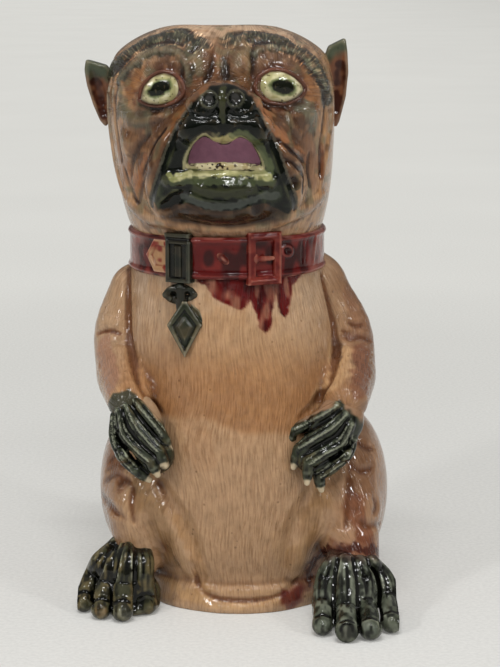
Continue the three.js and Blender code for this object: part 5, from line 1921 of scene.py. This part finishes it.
def make(name, clay, paint, nodes, material, relief=None, smooth=None, flow=flow_round):
    """Meshes a clay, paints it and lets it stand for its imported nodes."""
    points, faces = clay.mesh()
    relief = relief or Relief(clay, *SMALL_RELIEF)
    piece = new_piece(name, points, faces, material, nodes)
    give_colour(piece, paint(points, relief))
    give_flow(piece, flow(points))
    if smooth is not None:
        piece.data.normals_split_custom_set_from_vertices(normals(smooth, points))


def muzzle_region(skin, path, bridge):
    line = sunk(skin, skin.pin(path), 8.0)
    under = sunk(skin, skin.pin(bridge), 6.0)
    return [chain(line, [9, 11.5, 13.5, 14.5, 13.5, 10.5]), chain(under, [9, 9])]


def head_regions(skin):
    regions = {"nose": [ellipsoid((-8.0, -55, 234.0), (16.0, 12.0, 10.5))]}
    regions["upper_lip"] = [chain(skin.pin(UPPER_LIP), [2.8, 3.2, 2.8])]
    lower = [chain(skin.pin(LOWER_LIP), [5.0, 5.6, 5.0]), ellipsoid((-7, -46, 190.5), (25, 17, 14))]
    regions["lower_lip"] = lower
    regions["muzzle_right"] = muzzle_region(skin, JOWL_RIGHT, [(200, 124), (224, 127)])
    regions["muzzle_left"] = muzzle_region(skin, JOWL_LEFT, [(248, 124), (224, 127)])
    regions["brow_right"] = [chain(skin.pin(BROW_RIGHT), [6.0, 7.0, 6.0])]
    regions["brow_left"] = [chain(skin.pin(BROW_LEFT), [6.0, 7.0, 6.0])]
    return regions


def both(coarse, fine):
    """The relief of the whole head with the finer one of a piece on it."""
    return lambda points: np.clip(0.6 * coarse(points) + 0.8 * fine(points), -1, 1)


def build_head(glaze, brow_glaze, smooth):
    clay, skin = sculpt_head(HEAD_STEP)
    relief = Relief(clay, *HEAD_RELIEF)

    def paint(points, relief):
        return paint_head(points, skin, relief)

    detail = {"brow_right": brow_hairs("right"), "brow_left": brow_hairs("left"), "nose": nose_beads}
    pieces, rest = share_out(clay, head_regions(skin), FACE_STEP, detail)
    for name, (piece, surface) in pieces.items():
        look = brow_glaze if name.startswith("brow") else smooth
        fine = both(relief, Relief(surface, *FACE_RELIEF))
        make(name, piece, paint, [name], look, fine, surface, face_flow)
    make("head_shell", rest, paint, ["head_shell"], glaze, relief, clay, face_flow)
    return skin


def build_body(glaze):
    clay = sculpt_body(BODY_STEP)
    relief = Relief(clay, *BODY_RELIEF)

    def paint(points, relief):
        return paint_body(points, clay, relief)

    regions = {"base_plinth": [block((0, 0, FOOT_RIM_TOP - 50), (200, 200, 50), 0)]}
    for side, sign in SIDES.items():
        regions["haunch_" + side] = haunch_shapes(sign, 3.0)
        regions["foreleg_" + side] = arm_shapes(sign, 2.5)
    pieces, rest = share_out(clay, regions)
    for name, (piece, _) in pieces.items():
        flow = flow_round
        if name.startswith("foreleg"):
            flow = flow_along(arm_points(SIDES[name.split("_")[1]]), ARM_RADII[1])
        make(name, piece, paint, [name], glaze, relief, clay, flow)
    make("torso_shell", rest, paint, ["torso_shell"], glaze, relief, clay)


def build_limb_ends(smooth):
    for side in SIDES:
        clay, claws, ridges = sculpt_paw(side, PAW_STEP)
        paint = paint_paw(side, claws, ridges)
        make("forepaw_" + side, clay, paint, ["forepaw_" + side], smooth)
        clay = sculpt_foot(side, FOOT_STEP)
        make("hind_foot_" + side, clay, paint_foot(side), ["hind_foot_" + side], smooth)


def build_collar(smooth):
    dark = plain_coat((22, 24, 18), (4, 4, 3), (98, 96, 80), (40, 34, 24), 5, 0.9, 0.7)
    buckle = plain_coat((80, 16, 13), (36, 5, 5), (182, 132, 108), (112, 42, 32), 6, 0.9, 0.6)
    stud = plain_coat((92, 26, 20), (36, 8, 8), (190, 136, 112), (60, 14, 12), 7, 0.9, 0.65)
    tag = plain_coat((30, 34, 22), (5, 6, 4), (150, 138, 116), (62, 54, 36), 8, 0.9, 0.85)
    for name, sculpt, step, paint, slot in (
        ("collar_band", sculpt_collar, COLLAR_STEP, paint_collar, "crimson_glaze"),
        ("strap_keeper", sculpt_keeper, TRIM_STEP, dark, "dark_glaze"),
        ("keeper_ring", sculpt_ring, TRIM_STEP, dark, "dark_glaze"),
        ("pendant_tag", sculpt_tag, TRIM_STEP, tag, "dark_glaze"),
        ("buckle_frame", sculpt_buckle, TRIM_STEP, buckle, "crimson_glaze"),
        ("buckle_prong", sculpt_prong, STUD_STEP, stud, "crimson_glaze"),
        ("collar_rivet", sculpt_rivet, STUD_STEP, stud, "crimson_glaze"),
        ("collar_tip", sculpt_tip, TRIM_STEP, paint_tip, "crimson_glaze"),
    ):
        make(name, sculpt(step), paint, [name], smooth)


def build_face_trim(smooth, skin):
    rim = plain_coat(EYE_RED, (24, 10, 8), (124, 90, 70), (84, 40, 26), 9)
    for side in SIDES:
        name = "eye_" + side
        make(name, sculpt_eye(side, EYE_STEP, skin), paint_eye(side), [name], smooth)
        name = "eye_rim_" + side
        make(name, sculpt_eye_rim(side, EYE_STEP, skin), rim, [name], smooth)
        name = "ear_" + side
        make(name, sculpt_ear(side, EAR_STEP), paint_ear(side), [name], smooth)
    make("lower_teeth", sculpt_teeth(TEETH_STEP), paint_teeth, ["lower_teeth"], smooth)


def build_back(glaze):
    tan = plain_coat((150, 112, 80), (84, 50, 28), (190, 156, 120), (122, 84, 54), 11)
    make("handle", sculpt_handle(HANDLE_STEP), tan, ["handle"], glaze)
    make("tail", sculpt_tail(TAIL_STEP), tan, ["tail"], glaze)


# Studio


BOARD = (0.69, 0.685, 0.66, 1)
BOARD_FAR = (0.69, 0.685, 0.65, 1)
FLOOR_RADIUS, FLOOR_SIDES = 30, 64
AIM = (0, 0, 0.13)
LAMPS = [
    # name, place, size, watts
    ("window_left", (-1.3, -1.5, 1.1), (0.22, 0.45), 13.0),
    ("window_right", (1.5, -1.3, 1.0), (0.18, 0.50), 10.0),
    ("lamp_front", (0.3, -1.9, 1.8), (0.70, 0.08), 13.0),
    ("lamp_top", (-0.1, -0.8, 2.1), (0.80, 0.10), 19.0),
]


def floor_material():
    """Pale speckled board. Beyond the lamps' reach it looks as light as it does near the object."""
    t = Tree("paper")
    place = t.add("TexCoord").outputs["Object"]
    grain = t.ranged(t.noise(place, 500.0, 2.0), 0.3, 0.7, -0.055, 0.055)
    cloud = t.math("ADD", grain, t.ranged(t.noise(place, 3.0, 2.0), 0.3, 0.7, 0.985, 1.015))
    # The board is painted darker towards the right: painted shade.
    painted_shade = t.ranged(t.add("SeparateXYZ", {0: place}).outputs["X"], 0.3, 1.6, 1.0, 0.87)
    cloud = t.math("MULTIPLY", cloud, painted_shade)
    tint = t.add("CombineXYZ", {0: cloud, 1: cloud, 2: cloud}).outputs[0]
    colour = t.mixed(1.0, BOARD, tint, "MULTIPLY")
    board = t.add("BsdfPrincipled", {"Base Color": colour, "Roughness": 0.7, "Specular IOR Level": 0.2})
    glow = t.add("Emission", {"Color": t.mixed(1.0, BOARD_FAR, tint, "MULTIPLY"), "Strength": 1.0})
    path = t.add("LightPath").outputs
    mirrored = t.math("MAXIMUM", path["Is Glossy Ray"], path["Is Transmission Ray"])
    seen = t.math("MAXIMUM", path["Is Camera Ray"], mirrored)
    away = t.add("VectorMath", {0: place}, operation="LENGTH").outputs["Value"]
    share = t.math("MULTIPLY", seen, t.ranged(away, 0.10, 0.9, 0.2, 1.0))
    mix = t.add("MixShader", {0: share, 1: board.outputs[0], 2: glow.outputs[0]})
    t.add("OutputMaterial", {"Surface": mix.outputs[0]})
    return t.material


def build_floor():
    mesh = bpy.data.meshes.new("floor")
    turn = np.linspace(0, 2 * math.pi, FLOOR_SIDES + 1)[:-1]
    corners = [(FLOOR_RADIUS * math.cos(a), FLOOR_RADIUS * math.sin(a), 0) for a in turn]
    mesh.from_pydata(corners, [], [list(range(FLOOR_SIDES))])
    mesh.materials.append(floor_material())
    floor = bpy.data.objects.new("floor", mesh)
    bpy.context.scene.collection.objects.link(floor)


SKY = [(0.0, 0.08), (0.25, 0.16), (0.5, 0.34), (1.0, 0.5)]  # height of the direction, strength


def build_world():
    """A pale room: bright above, darker low down, so that the glaze keeps its depth."""
    world = bpy.data.worlds.new("room")
    world.use_nodes = True
    tree = world.node_tree
    tree.nodes.clear()
    place = tree.nodes.new("ShaderNodeTexCoord")
    split = tree.nodes.new("ShaderNodeSeparateXYZ")
    sky = tree.nodes.new("ShaderNodeValToRGB")
    background = tree.nodes.new("ShaderNodeBackground")
    output = tree.nodes.new("ShaderNodeOutputWorld")
    tree.links.new(place.outputs["Generated"], split.inputs[0])
    tree.links.new(split.outputs[2], sky.inputs[0])
    tree.links.new(sky.outputs[0], background.inputs["Color"])
    tree.links.new(background.outputs[0], output.inputs["Surface"])
    stops = sky.color_ramp.elements
    while len(stops) < len(SKY):
        stops.new(0.5)
    for stop, (height, strength) in zip(stops, SKY):
        stop.position, stop.color = height, (strength, strength * 0.99, strength * 0.97, 1)
    bpy.context.scene.world = world


def build_light(name, place, size, power):
    light = bpy.data.lights.new(name, "AREA")
    light.shape, light.size, light.size_y = "RECTANGLE", size[0], size[1]
    light.energy = power
    lamp = bpy.data.objects.new(name, light)
    lamp.location = place
    aim = Vector(AIM) - lamp.location
    lamp.rotation_euler = aim.to_track_quat("-Z", "Y").to_euler()
    bpy.context.scene.collection.objects.link(lamp)


def build_camera():
    camera = bpy.data.cameras.new("camera")
    camera.sensor_fit, camera.sensor_width, camera.sensor_height = "AUTO", SENSOR, SENSOR
    camera.lens = FOCAL * SENSOR / PHOTO_HEIGHT
    camera.clip_end = 100
    holder = bpy.data.objects.new("camera", camera)
    holder.location = (CAMERA_PLACE + SHIFT) * MM
    holder.rotation_euler = (math.pi / 2 - CAMERA_PITCH, 0, 0)
    bpy.context.scene.collection.objects.link(holder)
    bpy.context.scene.camera = holder


glaze = glaze_material("fur_glaze", streaks=0.5, peel=0.13, rough=0.03, shine=0.3)
brow_glaze = glaze_material("brow_glaze", (0.8, 5.0), streaks=0.9, relief=0.6, specks=0.2, thin=3.8)
smooth = glaze_material(
    "smooth_glaze", streaks=0.1, relief=0.05, specks=0.3, peel=0.18, rough=0.025, shine=0.22
)
build_body(glaze)
head_skin = build_head(glaze, brow_glaze, smooth)
build_limb_ends(smooth)
build_collar(smooth)
build_face_trim(smooth, head_skin)
build_back(glaze)

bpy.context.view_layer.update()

build_floor()
build_world()
for lamp in LAMPS:
    build_light(*lamp)
build_camera()
bpy.context.scene.view_settings.view_transform = "Standard"
